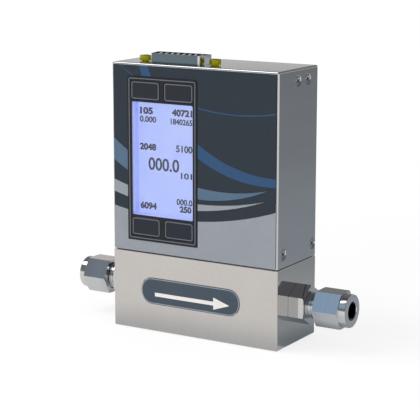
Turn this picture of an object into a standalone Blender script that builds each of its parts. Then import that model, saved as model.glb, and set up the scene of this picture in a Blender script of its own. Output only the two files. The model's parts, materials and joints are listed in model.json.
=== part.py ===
"""Gas mass flow meter: a stainless flow block with a compression fitting at each end, and above it a sheet
steel cover that carries a backlit display, four keys, the thermal flow sensor, two boards and a connector.

The origin is the middle of the block's underside. +X is the direction of flow, -Y is the side that is read,
and +Z is up. Sizes are written in millimetres and turned to metres by MM.
"""

import math

import bmesh
import bpy
from mathutils import Vector

MM = 0.001

# Clearances
GAP = 0.3 * MM
GLUE_LINE = 0.15 * MM
KEY_CLEARANCE = 0.2 * MM
HOLE_CLEARANCE = 0.3 * MM
TUBE_CLEARANCE = 0.1 * MM

# Sheet metal
COVER_WALL = 1.0 * MM
COVER_BEND_R = 0.9 * MM
CHASSIS_SHEET = 1.2 * MM

# Display and keys, seen from the front
KEY_W = 13.4 * MM
KEY_H = 7.25 * MM
KEY_R = 1.0 * MM
KEY_SPACING = 2.47 * MM
KEY_PITCH = KEY_W + KEY_SPACING
WINDOW_EXTRA_W = 0.08 * MM
WINDOW_W = KEY_PITCH + KEY_W + WINDOW_EXTRA_W
WINDOW_H = 46.85 * MM
WINDOW_R = 0.6 * MM
UPPER_KEY_GAP = 1.05 * MM
LOWER_KEY_GAP = 1.12 * MM
FRAME_SIDE_BORDER = 1.85 * MM
FRAME_TOP_BORDER = 1.95 * MM
FRAME_BOTTOM_BORDER = 2.0 * MM
FRAME_R = 1.1 * MM
FRAME_LIP = 0.8 * MM
FRAME_OPENING_R = 0.5 * MM
FRAME_W = WINDOW_W + 2 * FRAME_SIDE_BORDER
FRAME_H = (
    FRAME_BOTTOM_BORDER + KEY_H + LOWER_KEY_GAP + WINDOW_H + UPPER_KEY_GAP + KEY_H + FRAME_TOP_BORDER
)

# Display and boards, front to back
SKIN_T = 0.5 * MM
PANE_T = 0.8 * MM
DISPLAY_RECESS = 4.8 * MM
PANEL_T = 2.0 * MM
BACKLIGHT_T = 2.2 * MM
BOARD_T = 1.6 * MM
SNAP_ROOM = 3.2 * MM
SENSOR_CAN_D = 10.0 * MM
CHIP_ROOM = 2.5 * MM
SCREW_END_ROOM = 1.4 * MM
TRAY_SIDE = 2.3 * MM
TRAY_END = 0.55 * MM
SLAB_T = 2.0 * MM
KEY_TRAVEL = 0.4 * MM
KEY_EAR = 0.5 * MM
KEY_EAR_T = 0.8 * MM
KEY_STEM_R = 1.5 * MM
KEY_STEM_L = 0.85 * MM
SWITCH_SIDE = 6.0 * MM
SWITCH_BODY_T = 3.5 * MM
SWITCH_TOP_R = 1.7 * MM

# Round supports of the display board
STANDOFF_R = 2.0 * MM
STANDOFF_NECK_R = 1.2 * MM
STANDOFF_HEAD_L = 1.4 * MM
STANDOFF_SIDE = 1.95 * MM
STANDOFF_END = 3.4 * MM
DISPLAY_W = WINDOW_W + 2 * TRAY_SIDE
DISPLAY_H = WINDOW_H + 2 * TRAY_END
STANDOFF_X = DISPLAY_W / 2 + STANDOFF_SIDE
BOARD_EDGE_X = STANDOFF_X + STANDOFF_R - GLUE_LINE
BOARD_END_LIFT = 2.1 * MM

# Outer body
STANDOFF_ROOM = 1.13 * MM
LEFT_BORDER = COVER_WALL + GAP + CHASSIS_SHEET + STANDOFF_ROOM + STANDOFF_X + STANDOFF_R - FRAME_W / 2
RIGHT_FIELD = 36.92 * MM
BODY_W = LEFT_BORDER + FRAME_W + RIGHT_FIELD
BODY_D = (
    DISPLAY_RECESS + PANEL_T + GAP + BACKLIGHT_T + GAP + BOARD_T + SNAP_ROOM + SENSOR_CAN_D + CHIP_ROOM
    + BOARD_T + GAP + CHASSIS_SHEET + SCREW_END_ROOM + COVER_WALL
)
BLOCK_H = 33.0 * MM
BLOCK_EDGE = 0.35 * MM
FRAME_LIFT = 5.03 * MM
COVER_HEAD = 5.4 * MM
COVER_BOTTOM = BLOCK_H + GAP
COVER_TOP = COVER_BOTTOM + FRAME_LIFT + FRAME_H + COVER_HEAD
FRONT_Y = -BODY_D / 2
BACK_Y = BODY_D / 2
INNER_TOP = COVER_TOP - COVER_WALL

# Front label
LABEL_T = 0.25 * MM
LABEL_INSET = 0.95 * MM
LABEL_BOTTOM_INSET = 0.25 * MM
LABEL_R = 0.3 * MM
LABEL_FRAME_GAP = 0.2 * MM

# Flow path
AXIS_Z = BLOCK_H / 2
BORE_R = 5.0 * MM
TUBE_R = 3.175 * MM
SOCKET_R = TUBE_R + TUBE_CLEARANCE
FITTING_WALL = 2.275 * MM
THREAD_R = SOCKET_R + FITTING_WALL
PORT_R = THREAD_R + HOLE_CLEARANCE
PORT_DEPTH = 11.0 * MM
SEAL_WIDTH = 0.75 * MM
SEAL_T = 1.2 * MM
SCREEN_T = 1.2 * MM
LAMINAR_L = 15.0 * MM
LAMINAR_GROOVES = 12
LAMINAR_GROOVE_DEPTH = 0.6 * MM

# Compression fittings, for 6.35 mm tube
FLOW_R = 2.4 * MM
HEX_AF = 14.29 * MM
HEX_CHAMFER = 0.6 * MM
FITTING_HEX_L = 6.5 * MM
NECK_L = 4.1 * MM
NECK_IN_NUT = 7.1 * MM
SOCKET_DEPTH = 11.0 * MM
MOUTH_DEPTH = 2.2 * MM
MOUTH_FLARE = 1.275 * MM
MOUTH_R = SOCKET_R + MOUTH_FLARE
NUT_HEX_L = 10.95 * MM
NUT_BORE_R = THREAD_R + HOLE_CLEARANCE
COLLAR_WALL = 0.95 * MM
COLLAR_R = NUT_BORE_R + COLLAR_WALL
COLLAR_L = 3.15 * MM
COLLAR_CHAMFER = 0.5 * MM
NUT_MOUTH_CHAMFER = 0.45 * MM
FERRULE_NOSE_INSET = 1.2 * MM
FRONT_FERRULE_REACH = 1.6 * MM
BACK_FERRULE_L = 2.0 * MM
FERRULE_WALL = 1.625 * MM
FERRULE_REAR_R = SOCKET_R + FERRULE_WALL

# Flow sensor on the block
TAP_X = 10.0 * MM
TAP_R = 1.0 * MM
TAP_SEAL_R = 2.9 * MM
TAP_SEAL_HOLE_R = 1.5 * MM
TAP_SEAL_T = 1.05 * MM
SENSOR_Y = FRONT_Y + DISPLAY_RECESS + PANEL_T + 2 * GAP + BACKLIGHT_T + BOARD_T + SNAP_ROOM + SENSOR_CAN_D / 2
SENSOR_CAN_W = 30.0 * MM
SENSOR_FLANGE_L = 7.0 * MM
SENSOR_FLANGE_SIDE = 1.0 * MM
SENSOR_BASE_W = SENSOR_CAN_W + 2 * SENSOR_FLANGE_L
SENSOR_BASE_D = SENSOR_CAN_D + 2 * SENSOR_FLANGE_SIDE
SENSOR_BASE_H = 5.0 * MM
SENSOR_CAN_H = 26.0 * MM
SENSOR_CAN_WALL = 1.0 * MM
SENSOR_BOSS_H = 3.0 * MM
SENSOR_TUBE_R = 0.45 * MM
SENSOR_TUBE_H = 16.0 * MM
SENSOR_TUBE_BEND_R = 4.0 * MM

# Screws
CHASSIS_SCREW_OFFSET = 7.0 * MM
CHASSIS_SCREW_X = SENSOR_BASE_W / 2 + CHASSIS_SCREW_OFFSET
CHASSIS_SCREW_R = 1.5 * MM
SENSOR_SCREW_INSET = 3.0 * MM
SENSOR_SCREW_X = SENSOR_BASE_W / 2 - SENSOR_SCREW_INSET
SENSOR_SCREW_R = 1.25 * MM
SCREW_DEPTH = 5.0 * MM
BOARD_SCREW_R = 1.05 * MM
COVER_SCREW_R = 1.1 * MM
COVER_SCREW_HEAD_R = 2.3 * MM
COVER_SCREW_HEAD_T = 1.25 * MM
COVER_SCREW_SINK = 0.12 * MM
COVER_SCREW_L = 3.8 * MM
RECESS_W = 0.55 * MM
RECESS_SPAN = 2.6 * MM
RECESS_DEPTH = 0.7 * MM
MOUNT_HOLE_X = 25.0 * MM
MOUNT_HOLE_R = 1.65 * MM
MOUNT_HOLE_DEPTH = 8.0 * MM

# Cover screws on each side: distance from the middle of the depth, and height
UPPER_SCREW_DROP = 4.8 * MM
LOWER_SCREW_LIFT = 5.3 * MM
UPPER_SCREW_INSET = 8.7 * MM
UPPER_SCREW_PITCH = 8.1 * MM
LOWER_FRONT_INSET = 4.6 * MM
LOWER_REAR_INSET = 3.2 * MM
COVER_SCREWS = {
    "upper_front": (BACK_Y - UPPER_SCREW_INSET - UPPER_SCREW_PITCH, COVER_TOP - UPPER_SCREW_DROP),
    "upper_rear": (BACK_Y - UPPER_SCREW_INSET, COVER_TOP - UPPER_SCREW_DROP),
    "lower_front": (FRONT_Y + LOWER_FRONT_INSET, COVER_BOTTOM + LOWER_SCREW_LIFT),
    "lower_rear": (BACK_Y - LOWER_REAR_INSET, COVER_BOTTOM + LOWER_SCREW_LIFT),
}

# Chassis
CHASSIS_LIP = 5.0 * MM
CHASSIS_HEAD_ROOM = 1.2 * MM
LIP_BOTTOM_LIFT = 11.0 * MM
LIP_TOP_DROP = 7.0 * MM
BOARD_SCREW_INSET = 2.8 * MM
BOARD_SCREW_END_INSET = 5.5 * MM

# Connector on top
CONNECTOR_FROM_LEFT = 27.6 * MM
CONNECTOR_FROM_FRONT = 8.4 * MM
CONNECTOR_X = -BODY_W / 2 + CONNECTOR_FROM_LEFT
CONNECTOR_Y = FRONT_Y + CONNECTOR_FROM_FRONT
CONTACT_COUNTS = (7, 8)
CONTACT_PITCH = 2.77 * MM
CONTACT_ROW_PITCH = 2.84 * MM
CONTACT_R = 0.55 * MM
CONTACT_DEPTH = 4.0 * MM
SHELL_SIDE = 3.255 * MM
SHELL_FRONT = 2.705 * MM
SHELL_W = (max(CONTACT_COUNTS) - 1) * CONTACT_PITCH + 2 * SHELL_SIDE
SHELL_D = CONTACT_ROW_PITCH + 2 * SHELL_FRONT
SHELL_SLANT = math.radians(10)
SHELL_CORNER_R = 1.3 * MM
SHELL_WALL = 0.5 * MM
SHELL_H = 5.15 * MM
SHELL_TO_JACKSCREW = 3.7 * MM
JACKSCREW_PITCH = SHELL_W + 2 * SHELL_TO_JACKSCREW
FLANGE_END = 2.95 * MM
FLANGE_SIDE = 2.05 * MM
FLANGE_T = 0.8 * MM
FLANGE_R = 1.5 * MM
INSULATOR_SIDE = 1.15 * MM
INSULATOR_FRONT = 0.25 * MM
INSULATOR_R = 1.0 * MM
INSULATOR_BACK_W = SHELL_W + 2 * INSULATOR_SIDE
INSULATOR_BACK_D = SHELL_D + 2 * INSULATOR_FRONT
INSULATOR_BACK_H = 3.8 * MM
FLANGE_W = JACKSCREW_PITCH + 2 * FLANGE_END
FLANGE_D = INSULATOR_BACK_D + 2 * FLANGE_SIDE
JACKSCREW_AF = 4.1 * MM
JACKSCREW_CHAMFER = 0.3 * MM
JACKSCREW_H = 2.15 * MM
JACKSCREW_R = 1.3 * MM
JACKSCREW_HOLE_R = 1.1 * MM
JACKSCREW_HOLE_DEPTH = 1.7 * MM
JACKSCREW_TAIL = 1.8 * MM
RIBBON_W = 19.0 * MM
RIBBON_T = 0.9 * MM
RIBBON_BEND_R = 1.4 * MM
RIBBON_DROP = 5.0 * MM
HEADER_SIDE = 2.0 * MM
HEADER_W = RIBBON_W + 2 * HEADER_SIDE
HEADER_H = 6.0 * MM

# Chips on the main board: place from the middle, width and height
CHIP_LIFT = 11.0 * MM
CHIPS = (
    (-20.0 * MM, 14.0 * MM, 12.0 * MM),
    (-2.0 * MM, 9.0 * MM, 9.0 * MM),
    (20.0 * MM, 16.0 * MM, 8.0 * MM),
)

# Flow direction badge on the block
BADGE_W = 46.9 * MM
BADGE_H = 10.85 * MM
BADGE_END_FLAT = 0.425 * MM
BADGE_R = BADGE_H / 2 - BADGE_END_FLAT
BADGE_X = -1.7 * MM
BADGE_LIFT = 0.6 * MM
BADGE_T = 0.5 * MM
BADGE_POCKET = 0.5 * MM

RING_STEPS = 36
ROUND_STEPS = 24
SMALL_STEPS = 16
CONTACT_STEPS = 8
ARC_STEPS = 5
ARM_OF_EMPTY = 5.0 * MM


def clear_scene():
    for obj in list(bpy.data.objects):
        bpy.data.objects.remove(obj, do_unlink=True)


def linear(channel):
    return channel / 12.92 if channel <= 0.04045 else ((channel + 0.055) / 1.055) ** 2.4


def material(name, colour, metallic, roughness):
    """A Principled material from an sRGB colour written as RRGGBB."""
    made = bpy.data.materials.new(name)
    made.use_nodes = True
    shader = made.node_tree.nodes["Principled BSDF"]
    rgb = [linear(int(colour[i : i + 2], 16) / 255) for i in (0, 2, 4)]
    shader.inputs["Base Color"].default_value = (*rgb, 1)
    shader.inputs["Metallic"].default_value = metallic
    shader.inputs["Roughness"].default_value = roughness
    return made


def empty(name, location=(0, 0, 0), turn_z=0.0, parent=None):
    obj = bpy.data.objects.new(name, None)
    obj.empty_display_size = ARM_OF_EMPTY
    obj.location = location
    obj.rotation_euler = (0, 0, turn_z)
    obj.parent = parent
    bpy.context.scene.collection.objects.link(obj)
    return obj


def add(name, mesh, finish, parent, location=(0, 0, 0)):
    """An object from a bmesh whose faces are turned outwards, with flat faces kept crisp."""
    bmesh.ops.recalc_face_normals(mesh, faces=mesh.faces)
    data = bpy.data.meshes.new(name)
    mesh.to_mesh(data)
    mesh.free()
    data.shade_smooth()
    data.set_sharp_from_angle(angle=math.radians(32))
    obj = bpy.data.objects.new(name, data)
    obj.location = location
    obj.parent = parent
    bpy.context.scene.collection.objects.link(obj)
    if finish is None:
        obj.hide_render = True
        obj.display_type = "WIRE"
    else:
        data.materials.append(finish)
    return obj


def boolean(obj, other, operation):
    modifier = obj.modifiers.new(other.name, "BOOLEAN")
    modifier.operation = operation
    modifier.object = other
    modifier.solver = "EXACT"


def cut(obj, mesh, location=(0, 0, 0)):
    """Cuts the bmesh out of the object. The cutter stays as a wire helper."""
    boolean(obj, add(obj.name + "_cutter", mesh, None, obj.parent, location), "DIFFERENCE")


def join(obj, mesh, location=(0, 0, 0)):
    """Joins the bmesh to the object as one body."""
    boolean(obj, add(obj.name + "_part", mesh, None, obj.parent, location), "UNION")


def rounded(corners, radius, steps=ARC_STEPS):
    """The outline of a convex polygon with each corner turned into an arc."""
    points = []
    for i, corner in enumerate(corners):
        here = Vector(corner)
        before = (Vector(corners[i - 1]) - here).normalized()
        after = (Vector(corners[(i + 1) % len(corners)]) - here).normalized()
        half = before.angle(after) / 2
        centre = here + (before + after).normalized() * radius / math.sin(half)
        start = here + before * radius / math.tan(half) - centre
        turn = start.angle_signed(here + after * radius / math.tan(half) - centre)
        for k in range(steps + 1):
            angle = -turn * k / steps
            x = start.x * math.cos(angle) - start.y * math.sin(angle)
            y = start.x * math.sin(angle) + start.y * math.cos(angle)
            points.append((centre.x + x, centre.y + y))
    return points


def rectangle(width, height, radius=0.0, centre=(0, 0)):
    x, y = centre
    w, h = width / 2, height / 2
    corners = [(x - w, y - h), (x + w, y - h), (x + w, y + h), (x - w, y + h)]
    return rounded(corners, radius) if radius else corners


def circle(radius, count, centre=(0, 0)):
    turns = [2 * math.pi * i / count for i in range(count)]
    return [(centre[0] + radius * math.cos(t), centre[1] + radius * math.sin(t)) for t in turns]


def on_axis(axis, u, v, w):
    """The point with w along the axis and (u, v) across it: YZ for X, XZ for Y and XY for Z."""
    return {"X": (w, u, v), "Y": (u, w, v), "Z": (u, v, w)}[axis]


def extrude(mesh, outline, axis, low, high):
    """Adds a closed prism of the outline between two places along the axis."""
    bottom = [mesh.verts.new(on_axis(axis, u, v, low)) for u, v in outline]
    top = [mesh.verts.new(on_axis(axis, u, v, high)) for u, v in outline]
    mesh.faces.new(bottom)
    mesh.faces.new(top)
    for i in range(len(outline)):
        j = (i + 1) % len(outline)
        mesh.faces.new((bottom[i], bottom[j], top[j], top[i]))
    return mesh


def box(mesh, low, high):
    size = ((low[0], low[1]), (high[0], low[1]), (high[0], high[1]), (low[0], high[1]))
    return extrude(mesh, size, "Z", low[2], high[2])


def round_edges(mesh, width, keep):
    """Rounds every edge for which keep is true."""
    edges = [edge for edge in mesh.edges if keep(edge)]
    bmesh.ops.bevel(mesh, geom=edges, offset=width, segments=3, affect="EDGES", profile=0.5)
    return mesh


def radius_at(turn, section):
    """The radius of a section in one direction: round, six-sided, or six-sided with its corners turned off."""
    across_flats, radius = section
    if not across_flats:
        return radius
    side = (turn + math.pi / 6) % (math.pi / 3) - math.pi / 6
    flat = across_flats / 2 / math.cos(side)
    return min(flat, radius) if radius else flat


def turned(mesh, axis, stations, count=RING_STEPS, first_turn=0.0, centre=(0, 0)):
    """Adds a body from stations (place, across flats, radius) that run round its section once.

    A section that starts and ends at radius 0 is solid, and any other closes on itself as a ring.
    """
    solid = not stations[0][1] and stations[0][2] == 0
    rings = []
    for place, across_flats, radius in stations:
        if not across_flats and radius == 0:
            rings.append([mesh.verts.new(on_axis(axis, *centre, place))] * count)
            continue
        ring = []
        for i in range(count):
            turn = 2 * math.pi * i / count
            r = radius_at(turn - first_turn, (across_flats, radius))
            u = centre[0] + r * math.cos(turn)
            v = centre[1] + r * math.sin(turn)
            ring.append(mesh.verts.new(on_axis(axis, u, v, place)))
        rings.append(ring)
    pairs = list(zip(rings, rings[1:])) + ([] if solid else [(rings[-1], rings[0])])
    for first, second in pairs:
        for i in range(count):
            j = (i + 1) % count
            corners = dict.fromkeys((first[i], first[j], second[j], second[i]))
            mesh.faces.new(list(corners))
    return mesh


def cylinder(mesh, axis, low, high, radius, count=ROUND_STEPS, centre=(0, 0)):
    return extrude(mesh, circle(radius, count, centre), axis, low, high)


def grooved(mesh, axis, low, high, radius):
    """A solid bar with straight grooves along it."""
    points = []
    for i in range(LAMINAR_GROOVES):
        for k in range(4):
            turn = 2 * math.pi * (i + k / 4) / LAMINAR_GROOVES
            r = radius if k < 2 else radius - LAMINAR_GROOVE_DEPTH
            points.append((r * math.cos(turn), r * math.sin(turn)))
    return extrude(mesh, points, axis, low, high)


def connector_outline(grow):
    """The connector's D shape, wider at the back, larger than the metal shell by grow on each side."""
    w, d = SHELL_W / 2 + grow, SHELL_D / 2 + grow
    narrow = w - 2 * d * math.tan(SHELL_SLANT)
    corners = [(-narrow, -d), (narrow, -d), (w, d), (-w, d)]
    return rounded(corners, max(SHELL_CORNER_R + grow, GAP))


def make_flow_block(parent, steel):
    block = bmesh.new()
    box(block, (-BODY_W / 2, FRONT_Y, 0), (BODY_W / 2, BACK_Y, BLOCK_H))
    round_edges(block, BLOCK_EDGE, lambda edge: True)
    block = add("base_block", block, steel, parent)

    end = BODY_W / 2
    seal_seat = end - SEAL_T - GAP
    seal_r = PORT_R + SEAL_WIDTH + GAP
    half = [
        (end + GAP, seal_r),
        (seal_seat, seal_r),
        (seal_seat, PORT_R),
        (end - PORT_DEPTH, PORT_R),
        (end - PORT_DEPTH, BORE_R),
    ]
    stations = [(end + GAP, 0, 0)]
    stations += [(x, 0, r) for x, r in half]
    stations += [(-x, 0, r) for x, r in reversed(half)]
    stations += [(-end - GAP, 0, 0)]
    cut(block, turned(bmesh.new(), "X", stations), (0, 0, AXIS_Z))

    top = bmesh.new()
    for side in (-1, 1):
        place = (side * TAP_X, SENSOR_Y)
        seat = BLOCK_H - TAP_SEAL_T - GAP
        profile = [(AXIS_Z, 0, 0), (AXIS_Z, 0, TAP_R), (seat, 0, TAP_R)]
        profile += [(seat, 0, TAP_SEAL_R + GAP), (BLOCK_H + GAP, 0, TAP_SEAL_R + GAP), (BLOCK_H + GAP, 0, 0)]
        turned(top, "Z", profile, SMALL_STEPS, centre=place)
        depth = BLOCK_H - SCREW_DEPTH - GAP
        for x, r in ((SENSOR_SCREW_X, SENSOR_SCREW_R), (CHASSIS_SCREW_X, CHASSIS_SCREW_R)):
            hole = r + HOLE_CLEARANCE
            cylinder(top, "Z", depth, BLOCK_H + GAP, hole, SMALL_STEPS, (side * x, SENSOR_Y))
        cylinder(top, "Z", -GAP, MOUNT_HOLE_DEPTH, MOUNT_HOLE_R, SMALL_STEPS, (side * MOUNT_HOLE_X, 0))
    cut(block, top)

    pocket = rectangle(BADGE_W + 2 * KEY_CLEARANCE, BADGE_H + 2 * KEY_CLEARANCE, BADGE_R + KEY_CLEARANCE)
    cut(
        block,
        extrude(bmesh.new(), pocket, "Y", FRONT_Y - GAP, FRONT_Y + BADGE_POCKET),
        (BADGE_X, 0, AXIS_Z + BADGE_LIFT),
    )


def make_badge(parent, print_film):
    back = FRONT_Y + BADGE_POCKET - GLUE_LINE
    outline = rectangle(BADGE_W, BADGE_H, BADGE_R)
    badge = extrude(bmesh.new(), outline, "Y", back - BADGE_T, back)
    add("flow_badge", badge, print_film, parent, (BADGE_X, 0, AXIS_Z + BADGE_LIFT))


def make_fitting(end_name, group, steel, rubber, mesh_steel):
    """One compression fitting. The group's +X points out of the block, and its origin is on the block's face."""
    hex_start = GAP
    hex_end = hex_start + FITTING_HEX_L
    nut_start = hex_end + NECK_L
    body_end = nut_start + NECK_IN_NUT
    stub_end = -PORT_DEPTH + GAP + SCREEN_T + GAP
    hex_r = HEX_AF / 2 / math.cos(math.pi / 6)
    chamfered = hex_r - HEX_CHAMFER

    stations = [
        (stub_end, 0, FLOW_R),
        (stub_end, 0, THREAD_R),
        (hex_start, 0, THREAD_R),
        (hex_start, HEX_AF, chamfered),
        (hex_start + HEX_CHAMFER / 2, HEX_AF, hex_r),
        (hex_end - HEX_CHAMFER / 2, HEX_AF, hex_r),
        (hex_end, HEX_AF, chamfered),
        (hex_end, 0, THREAD_R),
        (body_end, 0, THREAD_R),
        (body_end, 0, MOUTH_R),
        (body_end - MOUTH_DEPTH, 0, SOCKET_R),
        (body_end - SOCKET_DEPTH, 0, SOCKET_R),
        (body_end - SOCKET_DEPTH, 0, FLOW_R),
    ]
    body = turned(bmesh.new(), "X", stations)
    add(end_name + "_fitting", body, steel, group)

    shoulder = body_end + FRONT_FERRULE_REACH + GAP + BACK_FERRULE_L + GAP
    nut_hex_end = nut_start + NUT_HEX_L
    nut_end = nut_hex_end + COLLAR_L
    stations = [
        (nut_start, 0, NUT_BORE_R),
        (nut_start, HEX_AF, chamfered),
        (nut_start + HEX_CHAMFER / 2, HEX_AF, hex_r),
        (nut_hex_end - HEX_CHAMFER / 2, HEX_AF, hex_r),
        (nut_hex_end, HEX_AF, chamfered),
        (nut_hex_end, 0, COLLAR_R),
        (nut_end - COLLAR_CHAMFER, 0, COLLAR_R),
        (nut_end, 0, COLLAR_R - COLLAR_CHAMFER),
        (nut_end, 0, SOCKET_R + NUT_MOUTH_CHAMFER),
        (nut_end - NUT_MOUTH_CHAMFER, 0, SOCKET_R),
        (shoulder, 0, SOCKET_R),
        (shoulder, 0, NUT_BORE_R),
    ]
    stations = [(x - nut_start, flats, r) for x, flats, r in stations]
    nut = turned(bmesh.new(), "X", stations, RING_STEPS, math.pi / 6)
    add(end_name + "_nut", nut, steel, group, (nut_start, 0, 0))

    slope = (MOUTH_R - SOCKET_R) / MOUTH_DEPTH
    nose = -FERRULE_NOSE_INSET
    nose_r = SOCKET_R + (MOUTH_DEPTH - FERRULE_NOSE_INSET) * slope - GAP
    stations = [
        (nose, 0, SOCKET_R),
        (nose, 0, nose_r),
        (0, 0, MOUTH_R - GAP),
        (GAP, 0, FERRULE_REAR_R),
        (FRONT_FERRULE_REACH, 0, FERRULE_REAR_R),
        (FRONT_FERRULE_REACH, 0, SOCKET_R),
    ]
    ferrule = turned(bmesh.new(), "X", stations, ROUND_STEPS)
    add(end_name + "_front_ferrule", ferrule, steel, group, (body_end, 0, 0))
    start = FRONT_FERRULE_REACH + GAP
    stations = [
        (start, 0, SOCKET_R),
        (start, 0, FERRULE_REAR_R - GAP),
        (start + BACK_FERRULE_L, 0, FERRULE_REAR_R),
        (start + BACK_FERRULE_L, 0, SOCKET_R),
    ]
    ferrule = turned(bmesh.new(), "X", stations, ROUND_STEPS)
    add(end_name + "_back_ferrule", ferrule, steel, group, (body_end, 0, 0))

    outer_r = PORT_R + SEAL_WIDTH
    stations = [(-SEAL_T, 0, PORT_R), (-SEAL_T, 0, outer_r), (0, 0, outer_r), (0, 0, PORT_R)]
    add(end_name + "_port_seal", turned(bmesh.new(), "X", stations, ROUND_STEPS), rubber, group)
    if end_name == "inlet":
        screen = cylinder(bmesh.new(), "X", 0, SCREEN_T, THREAD_R, ROUND_STEPS)
        add("inlet_screen", screen, mesh_steel, group, (-PORT_DEPTH + GAP, 0, 0))


def make_sensor(parent, steel, rubber, can_steel):
    laminar = grooved(bmesh.new(), "X", -LAMINAR_L / 2, LAMINAR_L / 2, BORE_R - GAP)
    add("laminar_element", laminar, steel, parent, (0, 0, AXIS_Z))

    bottom = BLOCK_H + GAP
    top = bottom + SENSOR_BASE_H
    group = empty("sensor", (0, SENSOR_Y, 0), parent=parent)
    base = bmesh.new()
    box(base, (-SENSOR_BASE_W / 2, -SENSOR_BASE_D / 2, bottom), (SENSOR_BASE_W / 2, SENSOR_BASE_D / 2, top))
    base = add("sensor_base", base, steel, group)
    inner_w = SENSOR_CAN_W - 2 * SENSOR_CAN_WALL
    inner_d = SENSOR_CAN_D - 2 * SENSOR_CAN_WALL
    boss = rectangle(inner_w - 2 * GAP, inner_d - 2 * GAP)
    join(base, extrude(bmesh.new(), boss, "Z", top - GAP, top + SENSOR_BOSS_H))
    holes = bmesh.new()
    for side in (-1, 1):
        leg = (side * TAP_X, 0)
        cylinder(holes, "Z", bottom - GAP, top + 2 * SENSOR_BOSS_H, SENSOR_TUBE_R + GAP, SMALL_STEPS, leg)
        screw = (side * SENSOR_SCREW_X, 0)
        cylinder(holes, "Z", bottom - GAP, top + GAP, SENSOR_SCREW_R + HOLE_CLEARANCE, SMALL_STEPS, screw)
    cut(base, holes)

    for name, side in (("inlet", -1), ("outlet", 1)):
        low = BLOCK_H - TAP_SEAL_T
        stations = [
            (low, 0, TAP_SEAL_HOLE_R),
            (low, 0, TAP_SEAL_R),
            (BLOCK_H, 0, TAP_SEAL_R),
            (BLOCK_H, 0, TAP_SEAL_HOLE_R),
        ]
        seal = turned(bmesh.new(), "Z", stations, SMALL_STEPS)
        add("sensor_seal_" + name, seal, rubber, group, (side * TAP_X, 0, 0))

    can_bottom = top + GAP
    outside = rectangle(SENSOR_CAN_W, SENSOR_CAN_D)
    can = extrude(bmesh.new(), outside, "Z", can_bottom, can_bottom + SENSOR_CAN_H)
    can = add("sensor_can", can, can_steel, group)
    inside = rectangle(inner_w, inner_d)
    cut(can, extrude(bmesh.new(), inside, "Z", can_bottom - GAP, can_bottom + SENSOR_CAN_H - SENSOR_CAN_WALL))

    make_capillary(group, steel, bottom + GAP, top + SENSOR_TUBE_H)
    for name, side in (("inlet", -1), ("outlet", 1)):
        seat = (side * SENSOR_SCREW_X, 0, top)
        reach = SCREW_DEPTH + SENSOR_BASE_H
        make_pan_screw("sensor_screw_" + name, group, steel, "Z", seat, SENSOR_SCREW_R, reach)


def make_capillary(parent, steel, low, high):
    """The bent capillary tube in which the flow is measured: up one leg, across and down the other."""
    curve = bpy.data.curves.new("sensor_tube", "CURVE")
    curve.dimensions = "3D"
    curve.bevel_depth = SENSOR_TUBE_R
    curve.bevel_resolution = 1
    curve.use_fill_caps = True
    points = [(-TAP_X, low)]
    bend = SENSOR_TUBE_BEND_R
    for side in (-1, 1):
        for k in range(ARC_STEPS + 1):
            turn = math.pi / 2 * k / ARC_STEPS
            across, up = (math.cos(turn), math.sin(turn)) if side < 0 else (math.sin(turn), math.cos(turn))
            points.append((side * (TAP_X - bend) + side * bend * across, high - bend + bend * up))
    points.append((TAP_X, low))
    spline = curve.splines.new("POLY")
    spline.points.add(len(points) - 1)
    for point, (x, z) in zip(spline.points, points):
        point.co = (x, 0, z, 1)
    curve.materials.append(steel)
    tube = bpy.data.objects.new("sensor_tube", curve)
    tube.parent = parent
    bpy.context.scene.collection.objects.link(tube)


def make_pan_screw(name, parent, steel, axis, seat, shank_r, reach):
    """A pan-head screw. Its head is on the + side of the axis, a gap above the seat."""
    head_r = 1.75 * shank_r
    head_t = 1.0 * shank_r
    stations = [
        (GAP - reach, 0, 0),
        (GAP - reach, 0, shank_r),
        (GAP, 0, shank_r),
        (GAP, 0, head_r),
        (GAP + head_t, 0, 0.85 * head_r),
        (GAP + head_t, 0, 0),
    ]
    add(name, turned(bmesh.new(), axis, stations, SMALL_STEPS), steel, parent, seat)


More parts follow.
